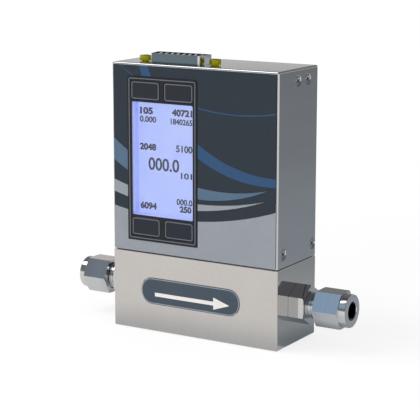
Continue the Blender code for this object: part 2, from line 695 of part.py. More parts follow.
def make_cover(parent, sheet):
    cover = bmesh.new()
    box(cover, (-BODY_W / 2, FRONT_Y, COVER_BOTTOM), (BODY_W / 2, BACK_Y, COVER_TOP))
    round_edges(cover, COVER_BEND_R, lambda edge: max(v.co.z for v in edge.verts) > COVER_BOTTOM + GAP)
    cover = add("cover", cover, sheet, parent)

    inside = rectangle(BODY_W - 2 * COVER_WALL, BODY_D - 2 * COVER_WALL)
    cut(cover, extrude(bmesh.new(), inside, "Z", COVER_BOTTOM - GAP, INNER_TOP))

    opening_w = FRAME_W - 2 * FRAME_LIP + 2 * GAP
    opening_h = FRAME_H - 2 * FRAME_LIP + 2 * GAP
    opening = rectangle(opening_w, opening_h, FRAME_OPENING_R)
    cut(cover, extrude(bmesh.new(), opening, "Y", FRONT_Y - GAP, FRONT_Y + COVER_WALL + GAP), frame_centre())

    top = bmesh.new()
    extrude(top, connector_outline(GAP), "Z", INNER_TOP - GAP, COVER_TOP + GAP)
    for side in (-1, 1):
        hole = (side * JACKSCREW_PITCH / 2, 0)
        cylinder(top, "Z", INNER_TOP - GAP, COVER_TOP + GAP, JACKSCREW_R + HOLE_CLEARANCE, SMALL_STEPS, hole)
    cut(cover, top, (CONNECTOR_X, CONNECTOR_Y, 0))

    holes = bmesh.new()
    outside = BODY_W / 2 + GAP
    sink_r = COVER_SCREW_HEAD_R + GAP
    slope = (COVER_SCREW_HEAD_R - COVER_SCREW_R) / COVER_SCREW_HEAD_T
    sunk = BODY_W / 2 - COVER_SCREW_SINK
    inside = BODY_W / 2 - COVER_WALL - GAP
    inside_r = max(sink_r - slope * (sunk - inside), COVER_SCREW_R + HOLE_CLEARANCE)
    for place in COVER_SCREWS.values():
        for side in (-1, 1):
            profile = [(outside, 0), (outside, sink_r), (sunk, sink_r), (inside, inside_r), (inside, 0)]
            turned(holes, "X", [(side * x, 0, r) for x, r in profile], ROUND_STEPS, centre=place)
    cut(cover, holes)


def make_cover_screws(parent, steel):
    for hand, side in (("left", -1), ("right", 1)):
        for place, (y, z) in COVER_SCREWS.items():
            top = -COVER_SCREW_SINK
            stations = [
                (-COVER_SCREW_L, 0, 0),
                (-COVER_SCREW_L, 0, COVER_SCREW_R),
                (top - COVER_SCREW_HEAD_T, 0, COVER_SCREW_R),
                (top, 0, COVER_SCREW_HEAD_R),
                (top, 0, 0),
            ]
            profile = [(side * x, flats, r) for x, flats, r in stations]
            name = "cover_screw_" + hand + "_" + place
            screw = turned(bmesh.new(), "X", profile, SMALL_STEPS)
            screw = add(name, screw, steel, parent, (side * BODY_W / 2, y, z))
            cross = bmesh.new()
            floor = side * (top - RECESS_DEPTH)
            for w, h in ((RECESS_SPAN, RECESS_W), (RECESS_W, RECESS_SPAN)):
                extrude(cross, rectangle(w, h), "X", *sorted((floor, side * GAP)))
                floor += side * RECESS_W / 10
            cut(screw, cross, (side * BODY_W / 2, y, z))


def make_chassis(parent, sheet, steel):
    """The bent sheet frame inside the cover: a floor screwed to the block and two uprights with rear lips."""
    outer = BODY_W / 2 - COVER_WALL - GAP
    inner = outer - CHASSIS_SHEET
    front = FRONT_Y + COVER_WALL + GAP
    rear = BACK_Y - COVER_WALL - GAP
    floor = COVER_BOTTOM
    lip_back = BACK_Y - COVER_WALL - SCREW_END_ROOM
    lip_front = lip_back - CHASSIS_SHEET
    lip_low = floor + LIP_BOTTOM_LIFT
    lip_high = INNER_TOP - LIP_TOP_DROP
    upright_top = INNER_TOP - CHASSIS_HEAD_ROOM

    chassis = bmesh.new()
    box(chassis, (-outer, front, floor), (outer, rear, floor + CHASSIS_SHEET))
    chassis = add("chassis", chassis, sheet, parent)
    outline = [
        (front, floor + GAP),
        (rear, floor + GAP),
        (rear, lip_low - 3 * GAP),
        (lip_back, lip_low),
        (lip_back, upright_top),
        (front, upright_top),
    ]
    for side in (-1, 1):
        join(chassis, extrude(bmesh.new(), outline, "X", *sorted((side * inner, side * outer))))
        lip = bmesh.new()
        low = (min(side * (inner - CHASSIS_LIP), side * (inner + GAP)), lip_front, lip_low)
        high = (max(side * (inner - CHASSIS_LIP), side * (inner + GAP)), lip_back, lip_high)
        join(chassis, box(lip, low, high))

    holes = bmesh.new()
    window = rectangle(SENSOR_BASE_W + 4 * GAP, SENSOR_BASE_D + 4 * GAP, centre=(0, SENSOR_Y))
    extrude(holes, window, "Z", floor - GAP, floor + CHASSIS_SHEET + GAP)
    for side in (-1, 1):
        place = (side * CHASSIS_SCREW_X, SENSOR_Y)
        r = CHASSIS_SCREW_R + HOLE_CLEARANCE
        cylinder(holes, "Z", floor - GAP, floor + CHASSIS_SHEET + GAP, r, SMALL_STEPS, place)
        for place in COVER_SCREWS.values():
            ends = sorted((side * (inner - GAP), side * (outer + GAP)))
            cylinder(holes, "X", *ends, COVER_SCREW_R + HOLE_CLEARANCE, SMALL_STEPS, place)
        for z in board_screw_heights():
            place = (side * board_screw_x(), z)
            r = BOARD_SCREW_R + HOLE_CLEARANCE
            cylinder(holes, "Y", lip_front - GAP, lip_back + GAP, r, SMALL_STEPS, place)
    cut(chassis, holes)
    for hand, side in (("left", -1), ("right", 1)):
        seat = (side * CHASSIS_SCREW_X, SENSOR_Y, floor + CHASSIS_SHEET)
        make_pan_screw("chassis_screw_" + hand, parent, steel, "Z", seat, CHASSIS_SCREW_R, SCREW_DEPTH)


def board_screw_x():
    return BODY_W / 2 - COVER_WALL - GAP - CHASSIS_SHEET - BOARD_SCREW_INSET


def board_screw_heights():
    low = COVER_BOTTOM + LIP_BOTTOM_LIFT + BOARD_SCREW_END_INSET
    high = INNER_TOP - LIP_TOP_DROP - BOARD_SCREW_END_INSET
    return low, high


def main_board_back():
    return BACK_Y - COVER_WALL - SCREW_END_ROOM - CHASSIS_SHEET - GAP


def make_main_board(parent, laminate, steel):
    back = main_board_back()
    front = back - BOARD_T
    half_w = BODY_W / 2 - COVER_WALL - GAP - CHASSIS_SHEET - 2 * GAP
    low = COVER_BOTTOM + LIP_BOTTOM_LIFT
    high = INNER_TOP - LIP_TOP_DROP
    board = bmesh.new()
    box(board, (-half_w, front, low), (half_w, back, high))
    board = add("main_board", board, laminate, parent)
    header_top = ribbon_end()
    header = rectangle(HEADER_W, HEADER_H, centre=(CONNECTOR_X, header_top - GAP - HEADER_H / 2))
    ribbon_y = ribbon_back()
    join(board, extrude(bmesh.new(), header, "Y", ribbon_y - RIBBON_T - GAP, front + GAP))
    sensor_top = COVER_BOTTOM + SENSOR_BASE_H + SENSOR_CAN_H
    for x, w, h in CHIPS:
        chip = rectangle(w, h, centre=(x, sensor_top + CHIP_LIFT))
        join(board, extrude(bmesh.new(), chip, "Y", front - CHIP_ROOM / 2, front + GAP))
    holes = bmesh.new()
    for side in (-1, 1):
        for z in board_screw_heights():
            place = (side * board_screw_x(), z)
            cylinder(holes, "Y", front - GAP, back + GAP, BOARD_SCREW_R + HOLE_CLEARANCE, SMALL_STEPS, place)
    cut(board, holes)
    for hand, side in (("left", -1), ("right", 1)):
        for place, z in zip(("lower", "upper"), board_screw_heights()):
            name = "board_screw_" + hand + "_" + place
            group = empty(name + "_axis", (side * board_screw_x(), front, z), math.pi, parent)
            reach = BOARD_T + GAP + CHASSIS_SHEET + 2 * GAP
            make_pan_screw(name, group, steel, "Y", (0, 0, 0), BOARD_SCREW_R, reach)


def frame_centre():
    x = -BODY_W / 2 + LEFT_BORDER + FRAME_W / 2
    return (x, 0, COVER_BOTTOM + FRAME_LIFT + FRAME_H / 2)


def window_z():
    """The window's middle, above the middle of the keypad frame."""
    return -FRAME_H / 2 + FRAME_BOTTOM_BORDER + KEY_H + LOWER_KEY_GAP + WINDOW_H / 2


def key_places():
    low = -FRAME_H / 2 + FRAME_BOTTOM_BORDER + KEY_H / 2
    high = FRAME_H / 2 - FRAME_TOP_BORDER - KEY_H / 2
    x = KEY_PITCH / 2
    upper = {"top_left": (-x, high), "top_right": (x, high)}
    return upper | {"bottom_left": (-x, low), "bottom_right": (x, low)}


def make_keypad(group, plastic, key_plastic):
    """The dark frame round the display, which lies on the cover, and its four keys."""
    back = FRONT_Y - GLUE_LINE
    front = back - SKIN_T
    frame = extrude(bmesh.new(), rectangle(FRAME_W, FRAME_H, FRAME_R), "Y", front, back)
    frame = add("keypad_frame", frame, plastic, group)
    key_hole = (KEY_W + 2 * KEY_CLEARANCE, KEY_H + 2 * KEY_CLEARANCE, KEY_R + KEY_CLEARANCE)
    slab_w = FRAME_W - 2 * FRAME_LIP
    slab_back = back + SLAB_T
    for edge, key in ((FRAME_H / 2 - FRAME_LIP, "top_left"), (-FRAME_H / 2 + FRAME_LIP, "bottom_left")):
        z = key_places()[key][1]
        inner = z - math.copysign(key_hole[1] / 2, edge)
        outline = rectangle(slab_w, abs(edge - inner), centre=(0, (edge + inner) / 2))
        join(frame, extrude(bmesh.new(), outline, "Y", back - GAP, slab_back))
    openings = bmesh.new()
    window = rectangle(WINDOW_W, WINDOW_H, WINDOW_R, (0, window_z()))
    extrude(openings, window, "Y", front - GAP, slab_back + GAP)
    for place in key_places().values():
        extrude(openings, rectangle(*key_hole, place), "Y", front - GAP, slab_back + GAP)
    cut(frame, openings)

    ear_front = slab_back + GAP
    ear_back = ear_front + KEY_EAR_T
    for name, (x, z) in key_places().items():
        key = extrude(bmesh.new(), rectangle(KEY_W, KEY_H, KEY_R), "Y", 0, ear_front - front)
        key = add("key_" + name, key, key_plastic, group, (x, front + GLUE_LINE / 3, z))
        ears = rectangle(KEY_W + 2 * KEY_EAR, KEY_H - 2 * KEY_R)
        join(key, extrude(bmesh.new(), ears, "Y", ear_front - front, ear_back - front), key.location)
        stem = circle(KEY_STEM_R, SMALL_STEPS)
        stem_root = ear_back - front
        stem = extrude(bmesh.new(), stem, "Y", stem_root - GAP, stem_root + KEY_STEM_L)
        join(key, stem, key.location)
    return ear_back + KEY_STEM_L + GLUE_LINE / 3


def make_display(group, clear, white, glass, diffuser, laminate, nylon, stem_end):
    """The pane, tray, panel, backlight and board behind the keypad frame, front to back."""
    z = window_z()
    pane_front = FRONT_Y - GLUE_LINE + GAP
    pane = rectangle(FRAME_W - 2 * FRAME_LIP - 2 * GAP, DISPLAY_H, centre=(0, z))
    add("display_window", extrude(bmesh.new(), pane, "Y", pane_front, pane_front + PANE_T), clear, group)

    panel_front = FRONT_Y + DISPLAY_RECESS
    tray_front = max(pane_front + PANE_T, FRONT_Y + COVER_WALL) + GAP
    footprint = rectangle(DISPLAY_W, DISPLAY_H, centre=(0, z))
    tray = extrude(bmesh.new(), footprint, "Y", tray_front, panel_front - GAP)
    tray = add("display_tray", tray, white, group)
    window = rectangle(WINDOW_W, WINDOW_H, WINDOW_R, (0, z))
    cut(tray, extrude(bmesh.new(), window, "Y", tray_front - GAP, panel_front))

    panel_back = panel_front + PANEL_T
    add("display_panel", extrude(bmesh.new(), footprint, "Y", panel_front, panel_back), glass, group)
    light_front = panel_back + GAP
    light_back = light_front + BACKLIGHT_T
    add("backlight", extrude(bmesh.new(), footprint, "Y", light_front, light_back), diffuser, group)

    front = light_back + GAP
    back = front + BOARD_T
    frame_z = frame_centre()[2]
    high = connector_back() - GAP - RIBBON_T - 2 * GAP - frame_z
    low = -FRAME_H / 2 + BOARD_END_LIFT
    board = bmesh.new()
    box(board, (-BOARD_EDGE_X, front, low), (BOARD_EDGE_X, back, high))
    board = add("display_board", board, laminate, group)
    for place in key_places().values():
        switch = rectangle(SWITCH_SIDE, SWITCH_SIDE, centre=place)
        join(board, extrude(bmesh.new(), switch, "Y", front - SWITCH_BODY_T, front + GAP))
        actuator = circle(SWITCH_TOP_R, SMALL_STEPS, place)
        top = stem_end + KEY_TRAVEL + GLUE_LINE
        join(board, extrude(bmesh.new(), actuator, "Y", top, front - SWITCH_BODY_T + GAP))

    holes = bmesh.new()
    corners = {}
    for end, place in (("lower", low + STANDOFF_END), ("upper", high - STANDOFF_END)):
        corners[end + "_left"] = (-STANDOFF_X, place)
        corners[end + "_right"] = (STANDOFF_X, place)
    for name, place in corners.items():
        cylinder(holes, "Y", front - GAP, back + GAP, STANDOFF_NECK_R + GAP, SMALL_STEPS, place)
        start = FRONT_Y + COVER_WALL + GAP
        stations = [
            (start, 0, 0),
            (start, 0, STANDOFF_R),
            (front - GAP, 0, STANDOFF_R),
            (front - GAP, 0, STANDOFF_NECK_R),
            (back + GAP, 0, STANDOFF_NECK_R),
            (back + GAP, 0, STANDOFF_NECK_R + 2 * GAP),
            (back + GAP + STANDOFF_HEAD_L, 0, STANDOFF_NECK_R / 2),
            (back + GAP + STANDOFF_HEAD_L, 0, 0),
        ]
        post = turned(bmesh.new(), "Y", stations, SMALL_STEPS)
        add("display_standoff_" + name, post, nylon, group, (place[0], 0, place[1]))
    cut(board, holes)


def connector_back():
    """The underside of the connector's insulator."""
    return INNER_TOP - GAP - FLANGE_T - GAP - INSULATOR_BACK_H


def ribbon_back():
    """The rear face of the ribbon's upright run."""
    return main_board_back() - BOARD_T - CHIP_ROOM - GAP


def ribbon_end():
    return connector_back() - GAP - RIBBON_T - RIBBON_BEND_R - RIBBON_DROP


def make_connector(group, sheet, plastic, brass, ribbon_film):
    flange_top = INNER_TOP - GAP
    flange_bottom = flange_top - FLANGE_T
    shell = extrude(bmesh.new(), rectangle(FLANGE_W, FLANGE_D, FLANGE_R), "Z", flange_bottom, flange_top)
    shell = add("connector_shell", shell, sheet, group)
    join(shell, extrude(bmesh.new(), connector_outline(0), "Z", flange_top - GAP, flange_top + SHELL_H))
    inner = connector_outline(-SHELL_WALL)
    holes = extrude(bmesh.new(), inner, "Z", flange_bottom - GAP, flange_top + SHELL_H + GAP)
    for side in (-1, 1):
        place = (side * JACKSCREW_PITCH / 2, 0)
        hole_r = JACKSCREW_R + HOLE_CLEARANCE
        cylinder(holes, "Z", flange_bottom - GAP, flange_top + GAP, hole_r, SMALL_STEPS, place)
    cut(shell, holes)

    low = connector_back()
    back = rectangle(INSULATOR_BACK_W, INSULATOR_BACK_D, INSULATOR_R)
    insulator = extrude(bmesh.new(), back, "Z", low, flange_bottom - GAP)
    insulator = add("connector_insulator", insulator, plastic, group)
    face = flange_top + SHELL_H - GAP
    plug = connector_outline(-SHELL_WALL - GAP)
    join(insulator, extrude(bmesh.new(), plug, "Z", flange_bottom - 2 * GAP, face))
    contacts = bmesh.new()
    for count, side in zip(CONTACT_COUNTS, (-1, 1)):
        for i in range(count):
            place = ((i - (count - 1) / 2) * CONTACT_PITCH, side * CONTACT_ROW_PITCH / 2)
            cylinder(contacts, "Z", face - CONTACT_DEPTH, face + GAP, CONTACT_R, CONTACT_STEPS, place)
    cut(insulator, contacts)

    seat = COVER_TOP + GAP
    hex_r = JACKSCREW_AF / 2 / math.cos(math.pi / 6)
    for hand, side in (("left", -1), ("right", 1)):
        stations = [
            (flange_bottom - JACKSCREW_TAIL, 0, 0),
            (flange_bottom - JACKSCREW_TAIL, 0, JACKSCREW_R),
            (seat, 0, JACKSCREW_R),
            (seat, JACKSCREW_AF, hex_r),
            (seat + JACKSCREW_H - JACKSCREW_CHAMFER, JACKSCREW_AF, hex_r),
            (seat + JACKSCREW_H, JACKSCREW_AF, hex_r - JACKSCREW_CHAMFER),
            (seat + JACKSCREW_H, 0, JACKSCREW_HOLE_R),
            (seat + JACKSCREW_H - JACKSCREW_HOLE_DEPTH, 0, JACKSCREW_HOLE_R),
            (seat + JACKSCREW_H - JACKSCREW_HOLE_DEPTH, 0, 0),
        ]
        jackscrew = turned(bmesh.new(), "Z", stations, ROUND_STEPS)
        add("jackscrew_" + hand, jackscrew, brass, group, (side * JACKSCREW_PITCH / 2, 0, 0))

    make_ribbon(group, ribbon_film, low - GAP)


def make_ribbon(group, film, top):
    """The flat cable from under the connector, back and down to the main board's header."""
    start = -INSULATOR_BACK_D / 2
    back = ribbon_back() - CONNECTOR_Y
    end = ribbon_end()
    bend = RIBBON_BEND_R
    outer = [(start, top)]
    inner = [(start, top - RIBBON_T)]
    for k in range(ARC_STEPS + 1):
        turn = math.pi / 2 * k / ARC_STEPS
        centre = (back - bend - RIBBON_T, top - bend - RIBBON_T)
        for points, r in ((outer, bend + RIBBON_T), (inner, bend)):
            points.append((centre[0] + r * math.sin(turn), centre[1] + r * math.cos(turn)))
    outer.append((back, end))
    inner.append((back - RIBBON_T, end))
    ribbon = extrude(bmesh.new(), outer + inner[::-1], "X", -RIBBON_W / 2, RIBBON_W / 2)
    add("ribbon_cable", ribbon, film, group)


def make_label(parent, film):
    back = FRONT_Y - GLUE_LINE
    low, high = COVER_BOTTOM + LABEL_BOTTOM_INSET, COVER_TOP - LABEL_INSET
    outline = rectangle(BODY_W - 2 * LABEL_INSET, high - low, LABEL_R, (0, (low + high) / 2))
    label = add("front_label", extrude(bmesh.new(), outline, "Y", back - LABEL_T, back), film, parent)
    grow = LABEL_FRAME_GAP
    opening = rectangle(FRAME_W + 2 * grow, FRAME_H + 2 * grow, FRAME_R + grow)
    cut(label, extrude(bmesh.new(), opening, "Y", back - LABEL_T - GAP, back + GAP), frame_centre())


def build():
    clear_scene()
    bright_steel = material("polished stainless steel", "B9BCBF", 1.0, 0.16)
    satin_steel = material("satin stainless steel", "BDBAB6", 1.0, 0.32)
    sheet_steel = material("brushed steel sheet", "8E9092", 1.0, 0.38)
    plated_sheet = material("zinc plated sheet", "9AA0A6", 1.0, 0.35)
    gilt = material("gold passivated brass", "C9B02A", 1.0, 0.3)
    rubber = material("nitrile rubber", "1B1C1E", 0.0, 0.6)
    dark_plastic = material("dark moulded plastic", "26282C", 0.0, 0.45)
    key_plastic = material("dark key plastic", "2B2D31", 0.0, 0.5)
    white_plastic = material("white moulded plastic", "E9ECF5", 0.0, 0.5)
    clear_plastic = material("clear acrylic", "E6ECF2", 0.0, 0.05)
    panel_glass = material("display glass", "B4C2FF", 0.0, 0.1)
    diffuser = material("light diffuser", "EEF0FF", 0.0, 0.4)
    laminate = material("green board laminate", "1E5B3A", 0.0, 0.45)
    nylon = material("natural nylon", "DDD9CC", 0.0, 0.5)
    ribbon_film = material("grey ribbon cable", "9A9DA0", 0.0, 0.55)
    label_film = material("printed polyester film", "3A4149", 0.0, 0.4)
    badge_film = material("printed badge film", "4B5561", 0.0, 0.4)
    woven_steel = material("woven steel screen", "8C8F92", 1.0, 0.5)

    meter = empty("meter")
    make_flow_block(meter, satin_steel)
    make_badge(meter, badge_film)
    outlet = empty("outlet", (BODY_W / 2, 0, AXIS_Z), 0.0, meter)
    inlet = empty("inlet", (-BODY_W / 2, 0, AXIS_Z), math.pi, meter)
    make_fitting("outlet", outlet, bright_steel, rubber, woven_steel)
    make_fitting("inlet", inlet, bright_steel, rubber, woven_steel)
    make_sensor(meter, satin_steel, rubber, plated_sheet)
    make_chassis(meter, plated_sheet, bright_steel)
    make_main_board(meter, laminate, bright_steel)
    make_cover(meter, sheet_steel)
    make_cover_screws(meter, bright_steel)
    make_label(meter, label_film)

    front = empty("front_panel", frame_centre(), 0.0, meter)
    stem_end = make_keypad(front, dark_plastic, key_plastic)
    make_display(front, clear_plastic, white_plastic, panel_glass, diffuser, laminate, nylon, stem_end)
    connector = empty("connector", (CONNECTOR_X, CONNECTOR_Y, 0), 0.0, meter)
    make_connector(connector, plated_sheet, dark_plastic, gilt, ribbon_film)


build()
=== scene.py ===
# %% [markdown]
# # A gas mass flow meter
# The real object is a machined steel flow block with a compression fitting at each end, and on it a bent sheet
# cover that holds the electronics, a display with four keys and a D connector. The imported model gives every
# solid at its true size. This lesson dresses it: the parts that are seen get finer meshes, and all of them get
# a material made of nodes.

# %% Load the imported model
import json
import math

import bmesh
import bpy
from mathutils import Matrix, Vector

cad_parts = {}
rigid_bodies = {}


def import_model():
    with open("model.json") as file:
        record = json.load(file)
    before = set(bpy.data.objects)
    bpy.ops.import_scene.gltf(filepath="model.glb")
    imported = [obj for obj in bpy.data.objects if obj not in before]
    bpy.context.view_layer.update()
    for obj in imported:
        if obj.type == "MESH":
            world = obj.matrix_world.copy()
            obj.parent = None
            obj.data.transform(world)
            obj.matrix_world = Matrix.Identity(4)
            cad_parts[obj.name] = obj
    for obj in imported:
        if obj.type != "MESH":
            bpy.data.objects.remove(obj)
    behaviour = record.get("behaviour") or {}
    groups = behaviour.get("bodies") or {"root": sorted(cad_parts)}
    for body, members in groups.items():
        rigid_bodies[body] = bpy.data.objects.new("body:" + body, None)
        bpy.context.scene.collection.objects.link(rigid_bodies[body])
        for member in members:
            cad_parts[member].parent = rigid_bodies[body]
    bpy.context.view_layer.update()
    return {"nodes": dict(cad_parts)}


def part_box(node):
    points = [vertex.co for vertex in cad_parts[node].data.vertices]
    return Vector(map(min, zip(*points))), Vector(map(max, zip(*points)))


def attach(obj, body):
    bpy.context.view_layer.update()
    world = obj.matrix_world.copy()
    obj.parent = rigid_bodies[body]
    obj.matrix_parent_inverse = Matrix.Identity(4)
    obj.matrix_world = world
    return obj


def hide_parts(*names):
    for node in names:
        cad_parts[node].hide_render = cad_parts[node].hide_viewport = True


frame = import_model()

MM = 0.001

# %% [markdown]
# ## The view
# The camera stands a little above the object, to the right of its front, with a long lens, so the upright edges
# stay nearly parallel. Its place was worked out from the corners of the block and of the cover.

# %% Camera
bpy.ops.object.camera_add(
    location=(0.316326, -0.525064, 0.175552),
    rotation=(math.radians(90 - 11.5269), math.radians(-0.042), math.radians(31.2231)),
)
camera = bpy.context.object
camera.data.sensor_width = 36
camera.data.lens = 130.10
bpy.context.scene.camera = camera
bpy.context.scene.view_settings.view_transform = "Standard"
print("camera at", [round(c, 3) for c in camera.location])


# %% [markdown]
# ## Nodes and colours
# Colours are written as a painter reads them off a screen, in sRGB, and Blender works in linear light. One
# function turns the first into the second. Another adds any node, with its settings and what runs into it.

# %% Colour and node helpers
def colour(code):
    """The linear colour of an sRGB hex value such as 8899aa."""
    parts = [int(code[i:i + 2], 16) / 255 for i in (0, 2, 4)]
    return [c / 12.92 if c <= 0.04045 else ((c + 0.055) / 1.055) ** 2.4 for c in parts] + [1.0]


def node(tree, kind, inputs=None, **settings):
    """Adds a node. settings are its own properties, and inputs give each socket a value or another's output."""
    made = tree.nodes.new("ShaderNode" + kind)
    for name, value in settings.items():
        setattr(made, name, value)
    for socket, value in (inputs or {}).items():
        if isinstance(value, bpy.types.NodeSocket):
            tree.links.new(value, made.inputs[socket])
        else:
            made.inputs[socket].default_value = value
    return made


print("mid grey in linear light:", round(colour("808080")[0], 3))

# %% [markdown]
# ## The room
# A small product is photographed on a sweep of white paper under soft boxes. Here the paper is a wide floor and
# the world behind it. The camera sees the world as plain white, and the floor as white with the object's soft
# shadow. Polished metal shows a picture of the whole room, so what it sees is richer: white near the ground, grey
# higher up, darker overhead, a pale blue window in front, a small bright soft box above and a paler piece of wall
# behind. What lights the object is a plain even level from all round and three lamps.

# %% What sees the room
def looking(tree):
    """1 for a ray from the camera, or off gloss or through glass, and 0 for one that carries light."""
    ways = node(tree, "LightPath").outputs
    seen = node(tree, "Math", {0: ways["Is Camera Ray"], 1: ways["Is Glossy Ray"]}, operation="MAXIMUM")
    return node(tree, "Math", {0: seen.outputs[0], 1: ways["Is Transmission Ray"]}, operation="MAXIMUM").outputs[0]


def ramp(tree, value, start, end, low=0.0, high=1.0):
    """A value that eases from low to high as the first goes from start to end."""
    return node(
        tree, "MapRange", {0: value, 1: start, 2: end, 3: low, 4: high}, interpolation_type="SMOOTHSTEP"
    ).outputs[0]


def between(tree, value, first, second):
    """The colour part of the way from the first to the second."""
    return node(tree, "Mix", {"Factor": value, 6: first, 7: second}, data_type="RGBA").outputs[2]


print("room helpers ready")

# %% World
world = bpy.data.worlds.new("studio")
bpy.context.scene.world = world
world.use_nodes = True
tree = world.node_tree
tree.nodes.clear()
direction = node(tree, "TexCoord").outputs["Generated"]
height = node(tree, "SeparateXYZ", {0: direction}).outputs["Z"]
room = between(tree, ramp(tree, height, 0.02, 0.17), colour("ffffff"), colour("868583"))
room = between(tree, ramp(tree, height, 0.3, 0.75), room, colour("74767a"))


def facing(way, start, end):
    """1 for what is seen close to one direction, and 0 away from it. start and end are the easing's angles."""
    towards = node(tree, "VectorMath", {0: direction, 1: Vector(way).normalized()}, operation="DOT_PRODUCT")
    return ramp(tree, towards.outputs["Value"], math.cos(math.radians(start)), math.cos(math.radians(end)))


WINDOW, WALL_PIECE, SOFT_BOX = (-0.30, -0.72, 0.62), (-0.563, 0.794, 0.228), (-0.507, -0.25, 0.82)
BOX_STRENGTH = 4.0
DAYLIGHT = 0.5
room = between(tree, facing(WINDOW, 20, 9), room, colour("9eb8d2"))
room = between(tree, facing(WALL_PIECE, 6.5, 3), room, colour("cfcac4"))
box_light = node(tree, "Math", {0: facing(SOFT_BOX, 15, 10), 1: BOX_STRENGTH}, operation="MULTIPLY").outputs[0]
room = node(tree, "Mix", {"Factor": 1.0, 6: room, 7: box_light}, data_type="RGBA", blend_type="ADD").outputs[2]
room = between(tree, node(tree, "LightPath").outputs["Is Camera Ray"], room, colour("ffffff"))
backdrop = node(tree, "Background", {"Color": room, "Strength": 1.0})
daylight = node(tree, "Background", {"Color": colour("ffffff"), "Strength": DAYLIGHT})
world_mix = node(tree, "MixShader", {0: looking(tree), 1: daylight.outputs[0], 2: backdrop.outputs[0]})
node(tree, "OutputWorld", {0: world_mix.outputs[0]})
print("world: white near the ground, darker overhead, a blue window, a soft box and a pale piece of wall")

# %% Floor
# Its colours in a mirror change with the distance from the foot of the flow block: a painted shade makes the floor
# darker close to the block.
# To the block's right and rear the floor in a mirror is painted dusky, a painted shade which the polished sides that
# look that way take up.
FOOT = (39 * MM, 16.2 * MM, 1.0)
OWN_WHITE = 0.72
bpy.ops.mesh.primitive_plane_add(size=12, location=(0, 0, 0))
floor = bpy.context.object
floor.name = "floor"
for vertex in floor.data.vertices:
    vertex.co.z = -0.2 * MM
paper = bpy.data.materials.new("white_paper")
paper.use_nodes = True
tree = paper.node_tree
tree.nodes.clear()
place = node(tree, "TexCoord").outputs["Object"]
flat = node(tree, "VectorMath", {0: place}, operation="ABSOLUTE").outputs[0]
past = node(tree, "VectorMath", {0: flat, 1: FOOT}, operation="SUBTRACT").outputs[0]
past = node(tree, "VectorMath", {0: past, 1: (0, 0, 0)}, operation="MAXIMUM").outputs[0]
away = node(tree, "VectorMath", {0: past}, operation="LENGTH").outputs["Value"]
# Painted shade: the floor seen in a mirror is darker near the foot of the block.
mirrored_floor = between(tree, ramp(tree, away, -0.01, 0.045), colour("b6babe"), colour("eeecea"))
axes = node(tree, "SeparateXYZ", {0: place}).outputs
rightward, rearward = ramp(tree, axes["X"], 0.02, 0.042), ramp(tree, axes["Y"], -0.0095, -0.006)
corner = node(tree, "Math", {0: rightward, 1: rearward}, operation="MULTIPLY").outputs[0]
# Painted shade: the dusky floor to the block's right and rear, seen only in mirrors.
painted_dusk = between(tree, ramp(tree, away, 0.002, 0.018), colour("6b7982"), colour("8c969d"))
painted_dusk = between(tree, ramp(tree, away, 0.05, 0.14), painted_dusk, colour("66747f"))
painted_dusk = between(tree, ramp(tree, away, 0.2, 0.5), painted_dusk, colour("565f67"))
mirrored_floor = between(tree, corner, mirrored_floor, painted_dusk)
gloss = node(tree, "LightPath").outputs["Is Glossy Ray"]
floor_colour = between(tree, gloss, colour("ffffff"), mirrored_floor)
# Part of what is seen is the paper's own white, and the rest is its lit face, which keeps the shadow.
share = node(tree, "Math", {0: looking(tree), 1: OWN_WHITE}, operation="MULTIPLY").outputs[0]
lit = node(tree, "BsdfDiffuse", {"Color": colour("f4f4f4")})
white = node(tree, "Emission", {"Color": floor_colour, "Strength": ramp(tree, away, 0.12, 0.7, 1.08, 1.22)})
floor_mix = node(tree, "MixShader", {0: share, 1: lit.outputs[0], 2: white.outputs[0]})
node(tree, "OutputMaterial", {0: floor_mix.outputs[0]})
floor.data.materials.append(paper)
print("floor:", floor.name)


# %% Lamps
def soft_box(name, place, aim, size, power):
    """A square lamp that faces its aim and shows in no mirror."""
    bpy.ops.object.light_add(type="AREA", location=place)
    lamp = bpy.context.object
    lamp.name = name
    lamp.rotation_euler = (Vector(aim) - Vector(place)).to_track_quat("-Z", "Y").to_euler()
    lamp.data.size = size
    lamp.data.energy = power
    lamp.visible_glossy = False


middle = (0, 0, 0.06)
soft_box("key_lamp", (-0.60, -0.36, 1.02), middle, 0.6, 6.0)
soft_box("front_lamp", (-0.10, -1.15, 0.35), middle, 0.6, 4.0)
soft_box("fill_lamp", (1.0, -0.30, 0.45), middle, 0.5, 2.0)
print("lamps: three soft boxes")


# %% [markdown]
# ## Modelling helpers
# Each piece starts from a primitive at its real size and place, and is shaped in edit mode as by hand. An
# operator acts on all that is selected, so everything is deselected first, and the faces or edges to work on are
# then picked by their place or by the way they face.

# %% Selecting
def deselect():
    """Leaves edit mode with nothing selected."""
    if bpy.context.mode != "OBJECT":
        bpy.ops.object.mode_set(mode="OBJECT")
    bpy.ops.object.select_all(action="DESELECT")


def take(piece):
    """Makes a piece the only one selected and the active one."""
    deselect()
    piece.select_set(True)
    bpy.context.view_layer.objects.active = piece


def pick(piece, kind, test):
    """Enters edit mode with the edges or faces that pass the test selected."""
    take(piece)
    bpy.ops.object.mode_set(mode="EDIT")
    bpy.ops.mesh.select_mode(type=kind)
    bpy.ops.mesh.select_all(action="DESELECT")
    mesh = bmesh.from_edit_mesh(piece.data)
    chosen = [thing for thing in (mesh.edges if kind == "EDGE" else mesh.faces) if test(thing)]
    for thing in chosen:
        thing.select_set(True)
    mesh.select_flush_mode()
    bmesh.update_edit_mesh(piece.data)


def runs_along(edge, axis):
    """Whether an edge is parallel to an axis."""
    step = edge.verts[1].co - edge.verts[0].co
    return abs(step[axis]) > 0.999 * step.length


def apply(piece, name, kind, **settings):
    """Adds a modifier and applies it at once."""
    take(piece)
    change = piece.modifiers.new(name, kind)
    for key, value in settings.items():
        setattr(change, key, value)
    bpy.ops.object.modifier_apply(modifier=change.name)


